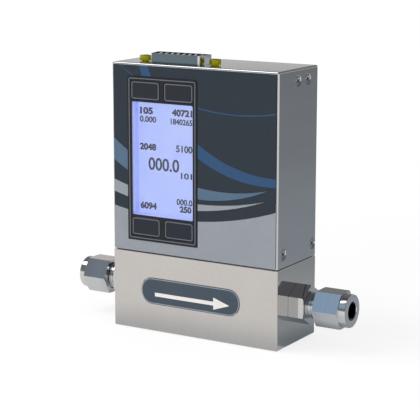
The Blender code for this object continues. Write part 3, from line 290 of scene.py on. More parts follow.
def cut(piece, tool, operation="DIFFERENCE"):
    """Cuts the tool out of the piece, or joins or crosses the two, and removes the tool."""
    apply(piece, "cut", "BOOLEAN", operation=operation, solver="EXACT", object=tool)
    bpy.data.objects.remove(tool)
    return piece


print("helpers ready")


# %% Starting shapes
def slab(name, low, high):
    """A block from its lowest to its highest corner."""
    deselect()
    bpy.ops.mesh.primitive_cube_add(
        size=1,
        location=[(a + b) / 2 for a, b in zip(low, high)],
        scale=[b - a for a, b in zip(low, high)],
    )
    bpy.ops.object.transform_apply(location=True, rotation=True, scale=True)
    piece = bpy.context.object
    piece.name = name
    return piece


def round_off(piece, test, radius, steps):
    """Rounds the edges that pass the test."""
    pick(piece, "EDGE", test)
    bpy.ops.mesh.bevel(offset=radius, segments=steps, profile=0.5, affect="EDGES", clamp_overlap=True)
    bpy.ops.object.mode_set(mode="OBJECT")
    return piece


def plate(name, low, high, radius):
    """A block whose four edges from front to back are rounded."""
    return round_off(slab(name, low, high), lambda edge: runs_along(edge, 1), radius, 6)


def turned(name, stations, sides=64, centre=(0, 0), axis=0):
    """A solid turned on a lathe, from (place along the axis, radius) stations. A list that ends where it
    starts makes a ring."""
    ring = stations[0] == stations[-1]
    deselect()
    turn = {0: (0, math.pi / 2, 0), 1: (math.pi / 2, 0, 0), 2: (0, 0, 0)}[axis]
    others = [i for i in range(3) if i != axis]
    start = [0.0, 0.0, 0.0]
    start[axis] = stations[0][0]
    start[others[0]], start[others[1]] = centre
    bpy.ops.mesh.primitive_circle_add(
        vertices=sides, radius=stations[0][1], fill_type="NOTHING" if ring else "NGON", location=start, rotation=turn
    )
    bpy.ops.object.transform_apply(location=True, rotation=True, scale=True)
    piece = bpy.context.object
    piece.name = name
    bpy.ops.object.mode_set(mode="EDIT")
    bpy.ops.mesh.select_mode(type="VERT")
    bpy.ops.mesh.select_all(action="SELECT")
    place, radius = stations[0]
    for new_place, new_radius in stations[1:]:
        move = [0.0, 0.0, 0.0]
        move[axis] = new_place - place
        bpy.ops.mesh.extrude_region_move(TRANSFORM_OT_translate={"value": move})
        start[axis] = new_place
        grow = [new_radius / radius] * 3
        grow[axis] = 1.0
        bpy.ops.transform.resize(value=grow, center_override=start)
        place, radius = new_place, new_radius
    bpy.ops.mesh.select_all(action="SELECT")
    if ring:
        bpy.ops.mesh.remove_doubles(threshold=1e-7)
    bpy.ops.mesh.normals_make_consistent(inside=False)
    bpy.ops.object.mode_set(mode="OBJECT")
    return piece


def hexagon(name, low, high, across, centre, turn):
    """A hexagonal bar along x from low to high. across is its width over the flats."""
    deselect()
    bpy.ops.mesh.primitive_cylinder_add(
        vertices=6, radius=across / math.sqrt(3), depth=high - low, location=(0, 0, 0), rotation=(0, 0, turn)
    )
    bpy.ops.object.transform_apply(location=True, rotation=True, scale=True)
    piece = bpy.context.object
    piece.rotation_euler = (0, math.pi / 2, 0)
    piece.location = ((low + high) / 2, *centre)
    bpy.ops.object.transform_apply(location=True, rotation=True, scale=True)
    piece.name = name
    return piece


print("starting shapes ready")


# %% Finishing a piece
SMOOTH_UP_TO = math.radians(35)


def finish(piece, material, body, replaces=()):
    """Smooths the shading, keeps flat faces flat, gives the piece its material, puts it on its body and hides the
    imported parts that it replaces.
    """
    take(piece)
    bpy.ops.object.shade_smooth_by_angle(angle=SMOOTH_UP_TO)
    apply(piece, "even", "WEIGHTED_NORMAL", keep_sharp=True, weight=80)
    piece.data.materials.clear()
    piece.data.materials.append(material)
    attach(piece, body)
    if replaces:
        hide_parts(*replaces)
    print(f"{piece.name}: {len(piece.data.polygons)} faces on {body}")


def copy_of(piece, name):
    """A copy with a mesh of its own."""
    twin = piece.copy()
    twin.data = piece.data.copy()
    twin.name = name
    bpy.context.collection.objects.link(twin)
    return twin


print("finishing ready")

# %% [markdown]
# ## Materials
# Every finish starts from one shader and a pattern in the object's own millimetres. A real surface is never one
# even colour: metal is ground or turned, plastic keeps the grain of its mould, and film has a fine tooth.

# %% Patterns
def start_material(name, **values):
    """A material with one shader. Gives the material, its tree, the shader and the place on the object."""
    material = bpy.data.materials.new(name)
    material.use_nodes = True
    tree = material.node_tree
    tree.nodes.clear()
    shader = node(tree, "BsdfPrincipled", values)
    node(tree, "OutputMaterial", {0: shader.outputs[0]})
    return material, tree, shader, node(tree, "TexCoord").outputs["Object"]


def grain(tree, place, size, detail=2.0):
    """A patchy pattern around 0.5. size is how long the patches are in x, y and z, in millimetres."""
    scale = [1 / (s * MM) for s in size]
    spot = node(tree, "Mapping", {"Vector": place, "Scale": scale})
    return node(tree, "TexNoise", {"Vector": spot.outputs[0], "Scale": 1.0, "Detail": detail}).outputs["Fac"]


def spread(tree, value, low, high):
    """Stretches a pattern, which stays mostly between 0.3 and 0.7, to run from low to high."""
    return node(tree, "MapRange", {0: value, 1: 0.3, 2: 0.7, 3: low, 4: high}).outputs[0]


def relief(tree, value, depth):
    """Bumps as deep as depth, in millimetres."""
    return node(tree, "Bump", {"Height": value, "Distance": depth * MM, "Strength": 1.0}).outputs["Normal"]


def along_axis(tree, axis):
    """The place on the object along one axis, X, Y or Z."""
    return node(tree, "SeparateXYZ", {0: node(tree, "TexCoord").outputs["Object"]}).outputs[axis]


def surface(name, dark, light, size, roughness, depth, **values):
    """A finish whose colour, roughness and relief follow one pattern."""
    material, tree, shader, place = start_material(name, **values)
    pattern = grain(tree, place, size)
    wide = grain(tree, place, [s * 8 for s in size], 1.0)
    both = node(tree, "Math", {0: pattern, 1: wide}, operation="ADD").outputs[0]
    half = node(tree, "Math", {0: both, 1: 0.5}, operation="MULTIPLY").outputs[0]
    tree.links.new(between(tree, spread(tree, half, 0, 1), colour(dark), colour(light)), shader.inputs["Base Color"])
    tree.links.new(spread(tree, half, *roughness), shader.inputs["Roughness"])
    tree.links.new(relief(tree, pattern, depth), shader.inputs["Normal"])
    return material


def metal(*parts):
    """A surface of bare metal, which gives the eye only what it mirrors, tinted by its colour."""
    return surface(*parts, Metallic=1.0)


print("patterns ready")

# %% Metals
# Stainless steel, ground and then polished: a warm sheen in which the room shows only as soft bands.
satin_steel = metal("satin_stainless_steel", "cac6c3", "cecbc8", (2.0, 2.0, 2.0), (0.07, 0.10), 0.0002)
# The same steel, machined and left bright: it mirrors the room with fine turning marks.
bright_steel = metal("turned_stainless_steel", "c8c9cb", "d2d3d5", (0.3, 4.0, 4.0), (0.04, 0.08), 0.0004)
# Zinc plated screws: greyer than the sheet, so the head shows against it and the recess catches the light.
screw_steel = metal("zinc_plated_screw_steel", "a6a9ac", "b4b7ba", (0.4, 0.4, 0.4), (0.06, 0.1), 0.0004)
# Stainless sheet, brushed along its length: cooler than the block, and its mirror picture is drawn out a little.
cover_steel = metal("brushed_stainless_sheet", "c3c4c5", "c8c9ca", (6.0, 6.0, 0.7), (0.10, 0.13), 0.0002)
# Zinc plated sheet: a cool grey with a faint bloom.
plated_sheet = metal("zinc_plated_sheet", "9aa0a6", "b4babf", (1.2, 1.2, 1.2), (0.28, 0.42), 0.004)
# Woven steel wire: it sparkles where the wires cross.
woven_steel = metal("woven_steel_wire", "8f8d89", "c2c0bc", (0.15, 0.15, 0.15), (0.25, 0.4), 0.03)
# Brass under a yellow chromate: a dull greenish gold.
passivated_brass = metal("passivated_brass", "a5a21c", "b3b022", (0.4, 0.4, 0.4), (0.28, 0.4), 0.003)
# Tin plated steel of the connector's shell: a dull blue grey, with a painted highlight that makes the shell's two
# ends bright.
shell_tin = metal("tin_plated_shell", "606e77", "66747d", (1.0, 1.0, 1.0), (0.12, 0.18), 0.001)
# Painted highlight: past these distances from the shell's middle, its two ends are painted a light grey.
HIGHLIGHT_FROM, HIGHLIGHT_TO = 10.75 * MM, 11.05 * MM
tree = shell_tin.node_tree
shell_low, shell_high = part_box("connector_shell")
connector_x = (shell_low.x + shell_high.x) / 2
offset = node(tree, "Math", {0: along_axis(tree, "X"), 1: connector_x}, operation="SUBTRACT").outputs[0]
painted_end_highlight = ramp(tree, node(tree, "Math", {0: offset}, operation="ABSOLUTE").outputs[0], HIGHLIGHT_FROM, HIGHLIGHT_TO)
base = tree.nodes["Principled BSDF"].inputs["Base Color"]
tree.links.new(between(tree, painted_end_highlight, base.links[0].from_socket, colour("d6dade")), base)
print("materials so far:", len(bpy.data.materials))

# %% Rubber, plastics and films
# Satin faces mirror less than bare gloss does.
SATIN = {"Specular IOR Level": 0.35}
# Moulded nitrile rubber: black with a dull bloom.
seal_rubber = surface("nitrile_rubber", "1c1c1d", "242425", (0.6, 0.6, 0.6), (0.6, 0.75), 0.01)
# Black glass filled nylon of the connector: almost no gloss, so its face stays deep black.
socket_plastic = surface(
    "black_glass_filled_nylon", "0b0c0e", "111214", (0.4, 0.4, 0.4), (0.5, 0.6), 0.004, **{"Specular IOR Level": 0.1}
)
# Black moulded ABS with a fine spark grain.
dark_plastic = surface("black_moulded_abs", "12151e", "161a22", (0.5, 0.5, 0.5), (0.42, 0.5), 0.002, **SATIN)
# The keys' faces: dark grey film over a dome, a little lighter than the frame.
key_plastic = surface("dark_key_film", "1a1e2a", "1e222e", (0.5, 0.5, 0.5), (0.4, 0.5), 0.002, **SATIN)
# White ABS of the display's tray. Its bluish colour and its glow are painted light, standing in for the violet blue
# light of the backlight.
white_plastic = surface(
    "white_moulded_abs", "9aa6dd", "a3afe2", (0.8, 0.8, 0.8), (0.4, 0.55), 0.004, **{"Emission Strength": 0.45}
)
tree = white_plastic.node_tree
tray_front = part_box("display_tray")[0].y
# Painted glow: brighter at the tray's front and a deeper blue further in.
deeper = ramp(tree, along_axis(tree, "Y"), tray_front, tray_front + 0.4 * MM)
painted_tray_glow = between(tree, deeper, colour("c3cfff"), colour("8194ff"))
tree.links.new(painted_tray_glow, tree.nodes["Principled BSDF"].inputs["Emission Color"])
# Diffuser sheet of the backlight: an even milky white.
light_diffuser = surface("opal_diffuser", "dfe4f2", "eaeef8", (1.0, 1.0, 1.0), (0.45, 0.6), 0.004)
# Glass fibre laminate under a green solder mask.
board_laminate = surface("green_board_laminate", "12452c", "1b5c3b", (1.0, 1.0, 1.0), (0.35, 0.5), 0.01)
# Natural nylon: milky and a little waxy.
nylon = surface("natural_nylon", "d9d5c6", "e4e0d2", (1.0, 1.0, 1.0), (0.4, 0.55), 0.005)
# Grey PVC ribbon cable: its wires show as fine stripes.
ribbon_film = surface("grey_ribbon_cable", "85888c", "979a9e", (1.27, 30.0, 30.0), (0.4, 0.55), 0.1)
# Polyester film with a fine satin tooth, printed slate on its back.
label_film = surface("slate_printed_film", "1d2833", "202c37", (1.0, 1.0, 1.0), (0.38, 0.44), 0.001, **SATIN)
# The badge's film: a lighter slate.
badge_film = surface("badge_slate_film", "3c4955", "404d5a", (1.0, 1.0, 1.0), (0.35, 0.42), 0.001, **SATIN)
print("materials:", len(bpy.data.materials))

# %% Display and clear materials
# Liquid crystal glass lit from behind: a pale violet blue that is a little uneven.
panel_glass, tree, shader, place = start_material("lit_liquid_crystal", Roughness=0.3)
glow = spread(tree, grain(tree, place, (9.0, 9.0, 9.0), 1.0), 0, 1)
lit_colour = between(tree, glow, colour("abbcff"), colour("b2c3ff"))
shader.inputs["Base Color"].default_value = colour("2a3050")
tree.links.new(lit_colour, shader.inputs["Emission Color"])
shader.inputs["Emission Strength"].default_value = 0.87

# Clear acrylic: thin, with only a faint gloss.
clear_plastic, tree, shader, place = start_material("clear_acrylic", IOR=1.0, Alpha=0.04)
shader.inputs["Roughness"].default_value = 0.1
haze = between(tree, spread(tree, grain(tree, place, (3.0, 3.0, 3.0)), 0, 1), colour("f2f4f8"), colour("ffffff"))
tree.links.new(haze, shader.inputs["Base Color"])
print("materials:", len(bpy.data.materials))

# %% A finish for every solid
finishes = {
    "satin_steel": satin_steel,
    "bright_steel": bright_steel,
    "cover_steel": cover_steel,
    "plated_sheet": plated_sheet,
    "woven_steel": woven_steel,
    "passivated_brass": passivated_brass,
    "seal_rubber": seal_rubber,
    "dark_plastic": dark_plastic,
    "socket_plastic": socket_plastic,
    "shell_tin": shell_tin,
    "key_plastic": key_plastic,
    "white_plastic": white_plastic,
    "clear_plastic": clear_plastic,
    "panel_glass": panel_glass,
    "light_diffuser": light_diffuser,
    "board_laminate": board_laminate,
    "nylon": nylon,
    "ribbon_film": ribbon_film,
    "label_film": label_film,
    "badge_film": badge_film,
}
members_of = {
    "satin_steel": ["base_block", "laminar_element", "sensor_base", "sensor_tube"],
    "badge_film": ["flow_badge"],
    "seal_rubber": ["inlet_port_seal", "outlet_port_seal", "sensor_seal_inlet", "sensor_seal_outlet"],
    "woven_steel": ["inlet_screen"],
    "plated_sheet": ["sensor_can", "chassis"],
    "board_laminate": ["main_board", "display_board"],
    "nylon": [n for n in frame["nodes"] if n.startswith("display_standoff")],
    "light_diffuser": ["backlight"],
    "panel_glass": ["display_panel"],
    "white_plastic": ["display_tray"],
    "clear_plastic": ["display_window"],
    "dark_plastic": ["keypad_frame"],
    "socket_plastic": ["connector_insulator"],
    "shell_tin": ["connector_shell"],
    "key_plastic": [n for n in frame["nodes"] if n.startswith("key_")],
    "label_film": ["front_label"],
    "cover_steel": ["cover"],
    "passivated_brass": ["jackscrew_left", "jackscrew_right"],
    "ribbon_film": ["ribbon_cable"],
}
finish_of = {name: key for key, members in members_of.items() for name in members}
for name, solid in frame["nodes"].items():
    solid.data.materials.clear()
    solid.data.materials.append(finishes[finish_of.get(name, "bright_steel")])
print("solids with a finish:", len(frame["nodes"]))

# %% [markdown]
# ## The flow block
# It is milled from bar and its edges are broken, so each shows as a thin bright line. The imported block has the
# ports and the badge's pocket, and its copy is crossed with a bar of its own size whose twelve edges are rounded.

# %% Flow block
packed_block = frame["nodes"]["base_block"]
block_low, block_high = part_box("base_block")
block = bpy.data.objects.new("milled_block", packed_block.data.copy())
bpy.context.collection.objects.link(block)
block.matrix_world = packed_block.matrix_world.copy()
take(block)
bpy.ops.object.transform_apply(location=True, rotation=True, scale=True)
SKIM, EDGE_R = 0.01 * MM, 0.45 * MM
bar = slab("rounded_bar", [c + SKIM for c in block_low], [c - SKIM for c in block_high])
round_off(bar, lambda edge: True, EDGE_R, 3)
cut(block, bar, "INTERSECT")
finish(block, satin_steel, "meter", ["base_block"])

# %% [markdown]
# ## The cover
# A sheet of stainless steel, 1 mm thick, folded down over four sides of the electronics. Its corners are bends
# and welds ground round. A solid box would show sharp corners and no thickness in its openings, so this one is
# an open box with rounded edges that is then given the sheet's thickness inwards. The keypad frame laps over the
# edge of its opening by LIP.

# %% Cover
cover_low, cover_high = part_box("cover")
SHEET, BEND, LIP = 1.0 * MM, 0.8 * MM, 0.5 * MM
cover = slab("cover_sheet", cover_low, cover_high)
pick(cover, "FACE", lambda face: face.normal.z < -0.9)
bpy.ops.mesh.delete(type="FACE")
round_off(cover, lambda edge: len(edge.link_faces) == 2, BEND, 5)
apply(cover, "sheet", "SOLIDIFY", thickness=SHEET, offset=-1, use_even_offset=True)

frame_low, frame_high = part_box("keypad_frame")
opening = slab(
    "front_opening",
    (frame_low.x + LIP, cover_low.y - 1 * MM, frame_low.z + LIP),
    (frame_high.x - LIP, cover_low.y + 2 * MM, frame_high.z - LIP),
)
cut(cover, opening)
print("cover sheet with its front opening")

# %% Connector and screw holes
jack_low, jack_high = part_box("jackscrew_left")
connector_y = (shell_low.y + shell_high.y) / 2
jack_spacing = 2 * (connector_x - (jack_low.x + jack_high.x) / 2)
SHELL_W, SHELL_D, SHELL_SLANT = 25.9 * MM, 8.25 * MM, math.radians(10)
HOLE_R = 1.6 * MM


def d_shape(name, low, high, grow, radius):
    """A bar with the connector's D outline, wider at the back. grow makes it wider all round."""
    piece = slab(
        name,
        (connector_x - SHELL_W / 2 - grow, connector_y - SHELL_D / 2 - grow, low),
        (connector_x + SHELL_W / 2 + grow, connector_y + SHELL_D / 2 + grow, high),
    )
    pick(piece, "FACE", lambda face: face.normal.y < -0.9)
    narrow = SHELL_W / 2 + grow - 2 * (SHELL_D / 2 + grow) * math.tan(SHELL_SLANT)
    bpy.ops.transform.resize(
        value=(narrow / (SHELL_W / 2 + grow), 1, 1), center_override=(connector_x, connector_y, low)
    )
    bpy.ops.object.mode_set(mode="OBJECT")
    return round_off(piece, lambda edge: runs_along(edge, 2), radius, 5)


def jackscrew_holes(piece, low, high):
    """Cuts the two holes for the jackscrews."""
    for side in (-1, 1):
        centre = (connector_x + side * jack_spacing / 2, connector_y)
        cut(piece, turned("jackscrew_hole", [(low, HOLE_R), (high, HOLE_R)], 32, centre, 2))


cut(cover, d_shape("connector_opening", cover_high.z - 3 * MM, cover_high.z + 1 * MM, 0.3 * MM, 1.6 * MM))
jackscrew_holes(cover, cover_high.z - 3 * MM, cover_high.z + 1 * MM)
SCREW_HEAD = 2.15 * MM
SCREW_SEAT, SCREW_HOLE = SCREW_HEAD + 0.3 * MM, 1.45 * MM
SCREW_PLACES = ("upper_front", "upper_rear", "lower_front", "lower_rear")
for name in SCREW_PLACES:
    for hand, side in (("left", -1), ("right", 1)):
        low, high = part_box(f"cover_screw_{hand}_{name}")
        centre = ((low.y + high.y) / 2, (low.z + high.z) / 2)
        outside = side * cover_high.x
        sink = turned(
            "screw_hole",
            [
                (outside + side * 0.5 * MM, SCREW_SEAT),
                (outside - side * 0.1 * MM, SCREW_SEAT),
                (outside - side * 1.3 * MM, SCREW_HOLE),
                (outside - side * 2.0 * MM, SCREW_HOLE),
            ],
            40,
            centre,
        )
        cut(cover, sink)
finish(cover, cover_steel, "meter", ["cover"])

# %% [markdown]
# ## The connector
# Its metal shell is drawn from thin sheet, so it is a thin D wall with a rounded lip on a flat flange. The
# insulator fills it to just under the lip and shows the rims of fifteen contacts in two rows.

# %% Connector shell
WALL, SHELL_R, LIP_R, FLANGE = 0.45 * MM, 1.0 * MM, 0.18 * MM, 0.6 * MM
shell = d_shape("connector_shell_drawn", shell_low.z, shell_high.z, 0.0, SHELL_R)
round_off(shell, lambda edge: min(v.co.z for v in edge.verts) > shell_high.z - 0.01 * MM, LIP_R, 3)
hollow = d_shape("shell_inside", shell_low.z - 1 * MM, shell_high.z + 1 * MM, -WALL, 0.7 * MM)
shell_flange = slab("shell_flange", shell_low, (shell_high.x, shell_high.y, shell_low.z + FLANGE))
cut(shell, shell_flange, "UNION")
cut(shell, hollow)
jackscrew_holes(shell, shell_low.z - 1 * MM, shell_low.z + 2 * MM)
finish(shell, shell_tin, "meter", ["connector_shell"])

# %% Contacts
# One contact's rim, from (height over the insulator's face, radius), and its places in the two rows.
CONTACT_PITCH, ROW_OFFSET = 2.77 * MM, 1.42 * MM
insulator_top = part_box("connector_insulator")[1].z
rim_stations = [(-0.5, 0.36), (-0.5, 0.62), (0.1, 0.62), (0.2, 0.52), (0.2, 0.44), (0.1, 0.36), (-0.5, 0.36)]
rim = turned("contact_rim", [(insulator_top + up * MM, out * MM) for up, out in rim_stations], 20, (0, 0), 2)
for row, side, count in (("front", -1, 7), ("rear", 1, 8)):
    for number in range(count):
        contact = copy_of(rim, f"contact_rim_{row}_{number + 1}")
        take(contact)
        along = (number - (count - 1) / 2) * CONTACT_PITCH
        contact.location = (connector_x + along, connector_y + side * ROW_OFFSET, 0)
        bpy.ops.object.transform_apply(location=True, rotation=True, scale=True)
        finish(contact, bright_steel, "meter")
bpy.data.objects.remove(rim)
print("contacts with their rims: 15")

# %% [markdown]
# ## The screws in the cover
# Small countersunk screws with a cross recess hold the cover's sides. One is turned with a stepped, slightly domed
# head, the cross is cut with a bar that narrows inwards, and the finished screw is copied to its eight places.

# %% Cover screws
BLADE_TURN = math.radians(38)
screw = turned(
    "screw",
    [
        (-3.8 * MM, 0.9 * MM), (-3.6 * MM, 1.1 * MM), (-1.4 * MM, 1.1 * MM), (-0.5 * MM, SCREW_HEAD - 0.06 * MM),
        (-0.46 * MM, SCREW_HEAD), (-0.42 * MM, SCREW_HEAD), (-0.4 * MM, SCREW_HEAD - 0.05 * MM),
        (-0.42 * MM, 1.6 * MM), (-0.3 * MM, 1.42 * MM), (-0.2 * MM, 1.1 * MM), (-0.14 * MM, 0.5 * MM),
    ],
    48,
)
for turn in (0, math.pi / 2):
    blade = slab("blade", (-1.3 * MM, -0.26 * MM, -1.25 * MM), (0.3 * MM, 0.26 * MM, 1.25 * MM))
    pick(blade, "FACE", lambda face: face.normal.x < -0.9)
    bpy.ops.transform.resize(value=(1, 0.45, 0.3), center_override=(-1.3 * MM, 0, 0))
    bpy.ops.object.mode_set(mode="OBJECT")
    blade.rotation_euler.x = turn + BLADE_TURN
    take(blade)
    bpy.ops.object.transform_apply(location=True, rotation=True, scale=True)
    cut(screw, blade)
for name in SCREW_PLACES:
    for hand, side in (("left", -1), ("right", 1)):
        low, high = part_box(f"cover_screw_{hand}_{name}")
        driven = copy_of(screw, f"cross_screw_{hand}_{name}")
        take(driven)
        driven.rotation_euler.z = 0 if side > 0 else math.pi
        driven.location = (side * cover_high.x, (low.y + high.y) / 2, (low.z + high.z) / 2)
        bpy.ops.object.transform_apply(location=True, rotation=True, scale=True)
        finish(driven, screw_steel, "meter", [f"cover_screw_{hand}_{name}"])
bpy.data.objects.remove(screw)

# %% [markdown]
# ## The fittings
# Each is a hexagonal body screwed into the block, a threaded neck, and a hexagonal nut with a round collar. They
# are turned from hexagonal bar, so their corners are trimmed by a cone at each end: the piece is turned first
# and then crossed with a hexagonal bar, which is what the lathe does the other way round.

# %% Thread
AXIS_Z = 16.5 * MM
PITCH = 1.27 * MM


def thread(name, low, high, radius, depth):
    """A ridge with a flat crest that winds round x, its foot sunk in the neck and its two ends closed."""
    deselect()
    turns = (high - low) / PITCH
    bpy.ops.mesh.primitive_circle_add(vertices=4, radius=0.5 * MM, fill_type="NOTHING", location=(0, 0, 0))
    piece = bpy.context.object
    piece.name = name
    crest, foot = radius + depth, radius - 0.25 * MM
    near, far = 0.14 * PITCH, 0.40 * PITCH
    corners = [(low + near, crest), (low - near, crest), (low - far, foot), (low + far, foot)]
    for vertex, (along, out) in zip(piece.data.vertices, corners):
        vertex.co = (along, 0, out)
    apply(
        piece, "winding", "SCREW", axis="X", angle=math.tau * turns, screw_offset=high - low,
        steps=int(40 * turns), render_steps=int(40 * turns), use_merge_vertices=False,
    )
    pick(piece, "EDGE", lambda edge: edge.is_boundary)
    bpy.ops.mesh.fill_holes(sides=4)
    bpy.ops.mesh.select_all(action="SELECT")
    bpy.ops.mesh.normals_make_consistent(inside=False)
    bpy.ops.object.mode_set(mode="OBJECT")
    return piece


print("thread pitch in millimetres:", PITCH / MM)

# %% Fitting bodies
# All in millimetres: the radii of the bore, of the stub in the block, of the neck, of the tube's socket and of the
# bar, the radius that the cone leaves of the bar's end, and the bar's width over its flats.
BORE, STUB, NECK, SOCKET, BAR, TRIM, FLATS = 2.4, 5.55, 5.2, 3.275, 8.5, 7.75, 14.29


def lathe_work(name, stations):
    """A piece turned on the flow axis, from (place, radius) stations in millimetres."""
    return turned(name, [(along * MM, out * MM) for along, out in stations], 96, (0, AXIS_Z))


body_stations = [
    (29.8, BORE), (29.8, 5.2), (30.2, STUB), (39.05, STUB), (39.05, 8.0), (39.2, BAR), (45.45, BAR), (45.8, TRIM),
    (45.8, NECK), (56.8, NECK), (57.0, 5.0), (57.0, 4.55), (54.8, SOCKET), (46.0, SOCKET), (46.0, BORE), (29.8, BORE),
]
fitting = lathe_work("fitting_body", body_stations)
hexagon_bar = hexagon("hexagon_bar", 25 * MM, 60 * MM, FLATS * MM, (0, AXIS_Z), math.pi / 6)
cut(fitting, hexagon_bar, "INTERSECT")
ridge = thread("thread_ridge", 46.2 * MM, 56.6 * MM, NECK * MM, 0.33 * MM)
ridge.location = (0, 0, AXIS_Z)
take(ridge)
bpy.ops.object.transform_apply(location=True, rotation=True, scale=True)
cut(fitting, ridge, "UNION")
print("fitting body:", len(fitting.data.polygons), "faces")

# %% Nuts
# The radii inside the nut over the thread, of its round collar and of the hole for the tube, in millimetres.
NUT_BORE, COLLAR, TUBE_HOLE = 5.85, 6.8, 3.7
nut_stations = [
    (49.9, NUT_BORE), (49.9, TRIM), (50.25, BAR), (60.5, BAR), (60.85, TRIM), (60.85, 6.95), (61.0, COLLAR),
    (63.5, COLLAR), (63.85, 6.65), (64.0, 6.3), (64.0, 3.95), (63.75, TUBE_HOLE), (61.2, TUBE_HOLE),
    (61.2, NUT_BORE), (49.9, NUT_BORE),
]
nut = lathe_work("nut", nut_stations)
cut(nut, hexagon("hexagon_bar", 45 * MM, 70 * MM, FLATS * MM, (0, AXIS_Z), 0.0), "INTERSECT")
print("nut:", len(nut.data.polygons), "faces")


# %% Both ends
def mirrored(piece, name):
    """The same piece at the other end of the block, its faces turned outwards again."""
    twin = copy_of(piece, name)
    take(twin)
    twin.scale = (-1, 1, 1)
    bpy.ops.object.transform_apply(location=True, rotation=True, scale=True)
    pick(twin, "FACE", lambda face: True)
    bpy.ops.mesh.normals_make_consistent(inside=False)
    bpy.ops.object.mode_set(mode="OBJECT")
    return twin


for piece, part, inlet_body, outlet_body in (
    (fitting, "fitting", "meter", "meter"),
    (nut, "nut", "inlet_nut", "outlet_nut"),
):
    inlet = mirrored(piece, f"inlet_{part}_turned")
    finish(inlet, bright_steel, inlet_body, [f"inlet_{part}"])
    piece.name = f"outlet_{part}_turned"
    finish(piece, bright_steel, outlet_body, [f"outlet_{part}"])

# %% [markdown]
# ## The label
# A film covers the whole front, slate with pale and blue arcs that sweep across it and a silver field at the
# bottom. The arcs are plain crescents, each the part of one disc that another leaves free, and they are laid on
# as thin as ink.

# %% Print on the label
label_low, label_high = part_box("front_label")
INK, INSET, FRAME_GAP = 0.03 * MM, 0.03 * MM, 0.35 * MM


def disc(name, centre_x, centre_z, radius):
    """A disc as thin as ink on the label's face. The centre, as x and z, and the radius are in millimetres."""
    stations = [(label_low.y - INK, radius * MM), (label_low.y + INK, radius * MM)]
    return turned(name, stations, 160, (centre_x * MM, centre_z * MM), 1)


def thicken(piece):
    """Makes a disc four times as thick, so it cuts right through another."""
    pick(piece, "FACE", lambda face: True)
    bpy.ops.transform.resize(value=(1, 4, 1), center_override=(0, label_low.y, 0))
    bpy.ops.object.mode_set(mode="OBJECT")


def label_area(grow=0.0, depth=2 * INK):
    """The label's own outline, a little smaller, with the opening for the frame. grow makes it wider all round."""
    area = plate(
        "label_area",
        (label_low.x + INSET - grow, label_low.y - depth, label_low.z + INSET - grow),
        (label_high.x - INSET + grow, label_low.y + depth, label_high.z - INSET + grow),
        0.27 * MM + grow,
    )
    hole = slab(
        "frame_area",
        (frame_low.x - FRAME_GAP, label_low.y - 1 * MM, frame_low.z - FRAME_GAP),
        (frame_high.x + FRAME_GAP, label_low.y + 1 * MM, frame_high.z + FRAME_GAP),
    )
    return cut(area, hole)


def ink(name, dark, light):
    """Screen printed ink under the film: even, with a slight mottle."""
    return surface(name, dark, light, (1.2, 1.2, 1.2), (0.38, 0.44), 0.001, **SATIN)


blue_ink = ink("deep_blue_ink", "24476c", "284c72")
silver_ink = ink("silver_ink", "8d929a", "93989f")
steel_blue_ink = ink("steel_blue_ink", "4c647c", "526a82")


def crescent(name, kept, taken, material):
    """The part of the first disc that the second leaves free, trimmed to the label. Each is (x, z, radius)."""
    shape = disc(name, *kept)
    other = disc("other_disc", *taken)
    thicken(other)
    cut(shape, other)
    cut(shape, label_area(), "INTERSECT")
    finish(shape, material, "meter")


crescent("print_arc_top", (20.0, 190.0, 97.0), (20.0, 191.0, 97.5), blue_ink)
crescent("print_sweep_upper", (34.0, 128.0, 62.0), (38.0, 133.0, 63.5), blue_ink)
crescent("print_sweep_middle", (4.0, 132.0, 74.0), (14.0, 146.0, 84.0), steel_blue_ink)
crescent("print_sweep_lower", (-6.0, 165.0, 112.0), (2.0, 178.0, 122.0), silver_ink)
print("ink on the label")

# %% Silver field at the bottom
# It wraps the film's cut edge, so that edge shows silver too.
field = slab(
    "print_silver_field",
    (label_low.x - 1 * MM, label_low.y - INK, label_low.z - 1 * MM),
    (label_high.x + 1 * MM, label_high.y - INK, 60 * MM),
)
curve = disc("field_curve", -8.0, 190.0, 141.5)
thicken(curve)
cut(field, curve)
cut(field, label_area(0.15 * MM, 1 * MM), "INTERSECT")
finish(field, silver_ink, "meter")

# %% [markdown]
# ## The display and its frame
# The frame is a dark moulding with printed outlines: a grey line round it and one round each key. The lines are
# thin rings laid on the moulding, each a rounded plate with a smaller one taken out. A dark flange covers the gap
# between the frame and the label, and a strip of rubber keeps the display's light from the upper keys.

# %% Outlines on the frame and keys
line_ink = ink("grey_line_ink", "5f636b", "676b73")
LINE_W, LINE_R = 0.42 * MM, 0.9 * MM


def outline(name, low, high, face, width, radius, thickness=INK):
    """A thin rounded ring in front of a face. low and high are its outer corners, as [x, z]."""
    ring = plate(name, (low[0], face - thickness, low[1]), (high[0], face + thickness, high[1]), radius)
    hole = plate(
        "ring_hole",
        (low[0] + width, face - 1 * MM, low[1] + width),
        (high[0] - width, face + 1 * MM, high[1] - width),
        max(radius - width, 0.1 * MM),
    )
    return cut(ring, hole)


def ring_corners(low, high, across, up):
    """The outer corners of a ring that lies inside a box's front by a distance across and one up."""
    return (low.x + across, low.z + up), (high.x - across, high.z - up)


corners = ring_corners(frame_low, frame_high, 0.56 * MM, 0.56 * MM)
ring = outline("frame_outline", *corners, frame_low.y, LINE_W, LINE_R)
finish(ring, line_ink, "meter")
corners = ring_corners(frame_low, frame_high, -0.17 * MM, -0.17 * MM)
flange = outline("frame_flange", *corners, frame_low.y + 0.22 * MM, 0.4 * MM, 1.27 * MM, 0.12 * MM)
finish(flange, dark_plastic, "meter")
seal = slab("display_light_seal", (-29.9 * MM, -16.3 * MM, 96.12 * MM), (1.0 * MM, -15.0 * MM, 96.5 * MM))
finish(seal, seal_rubber, "meter")
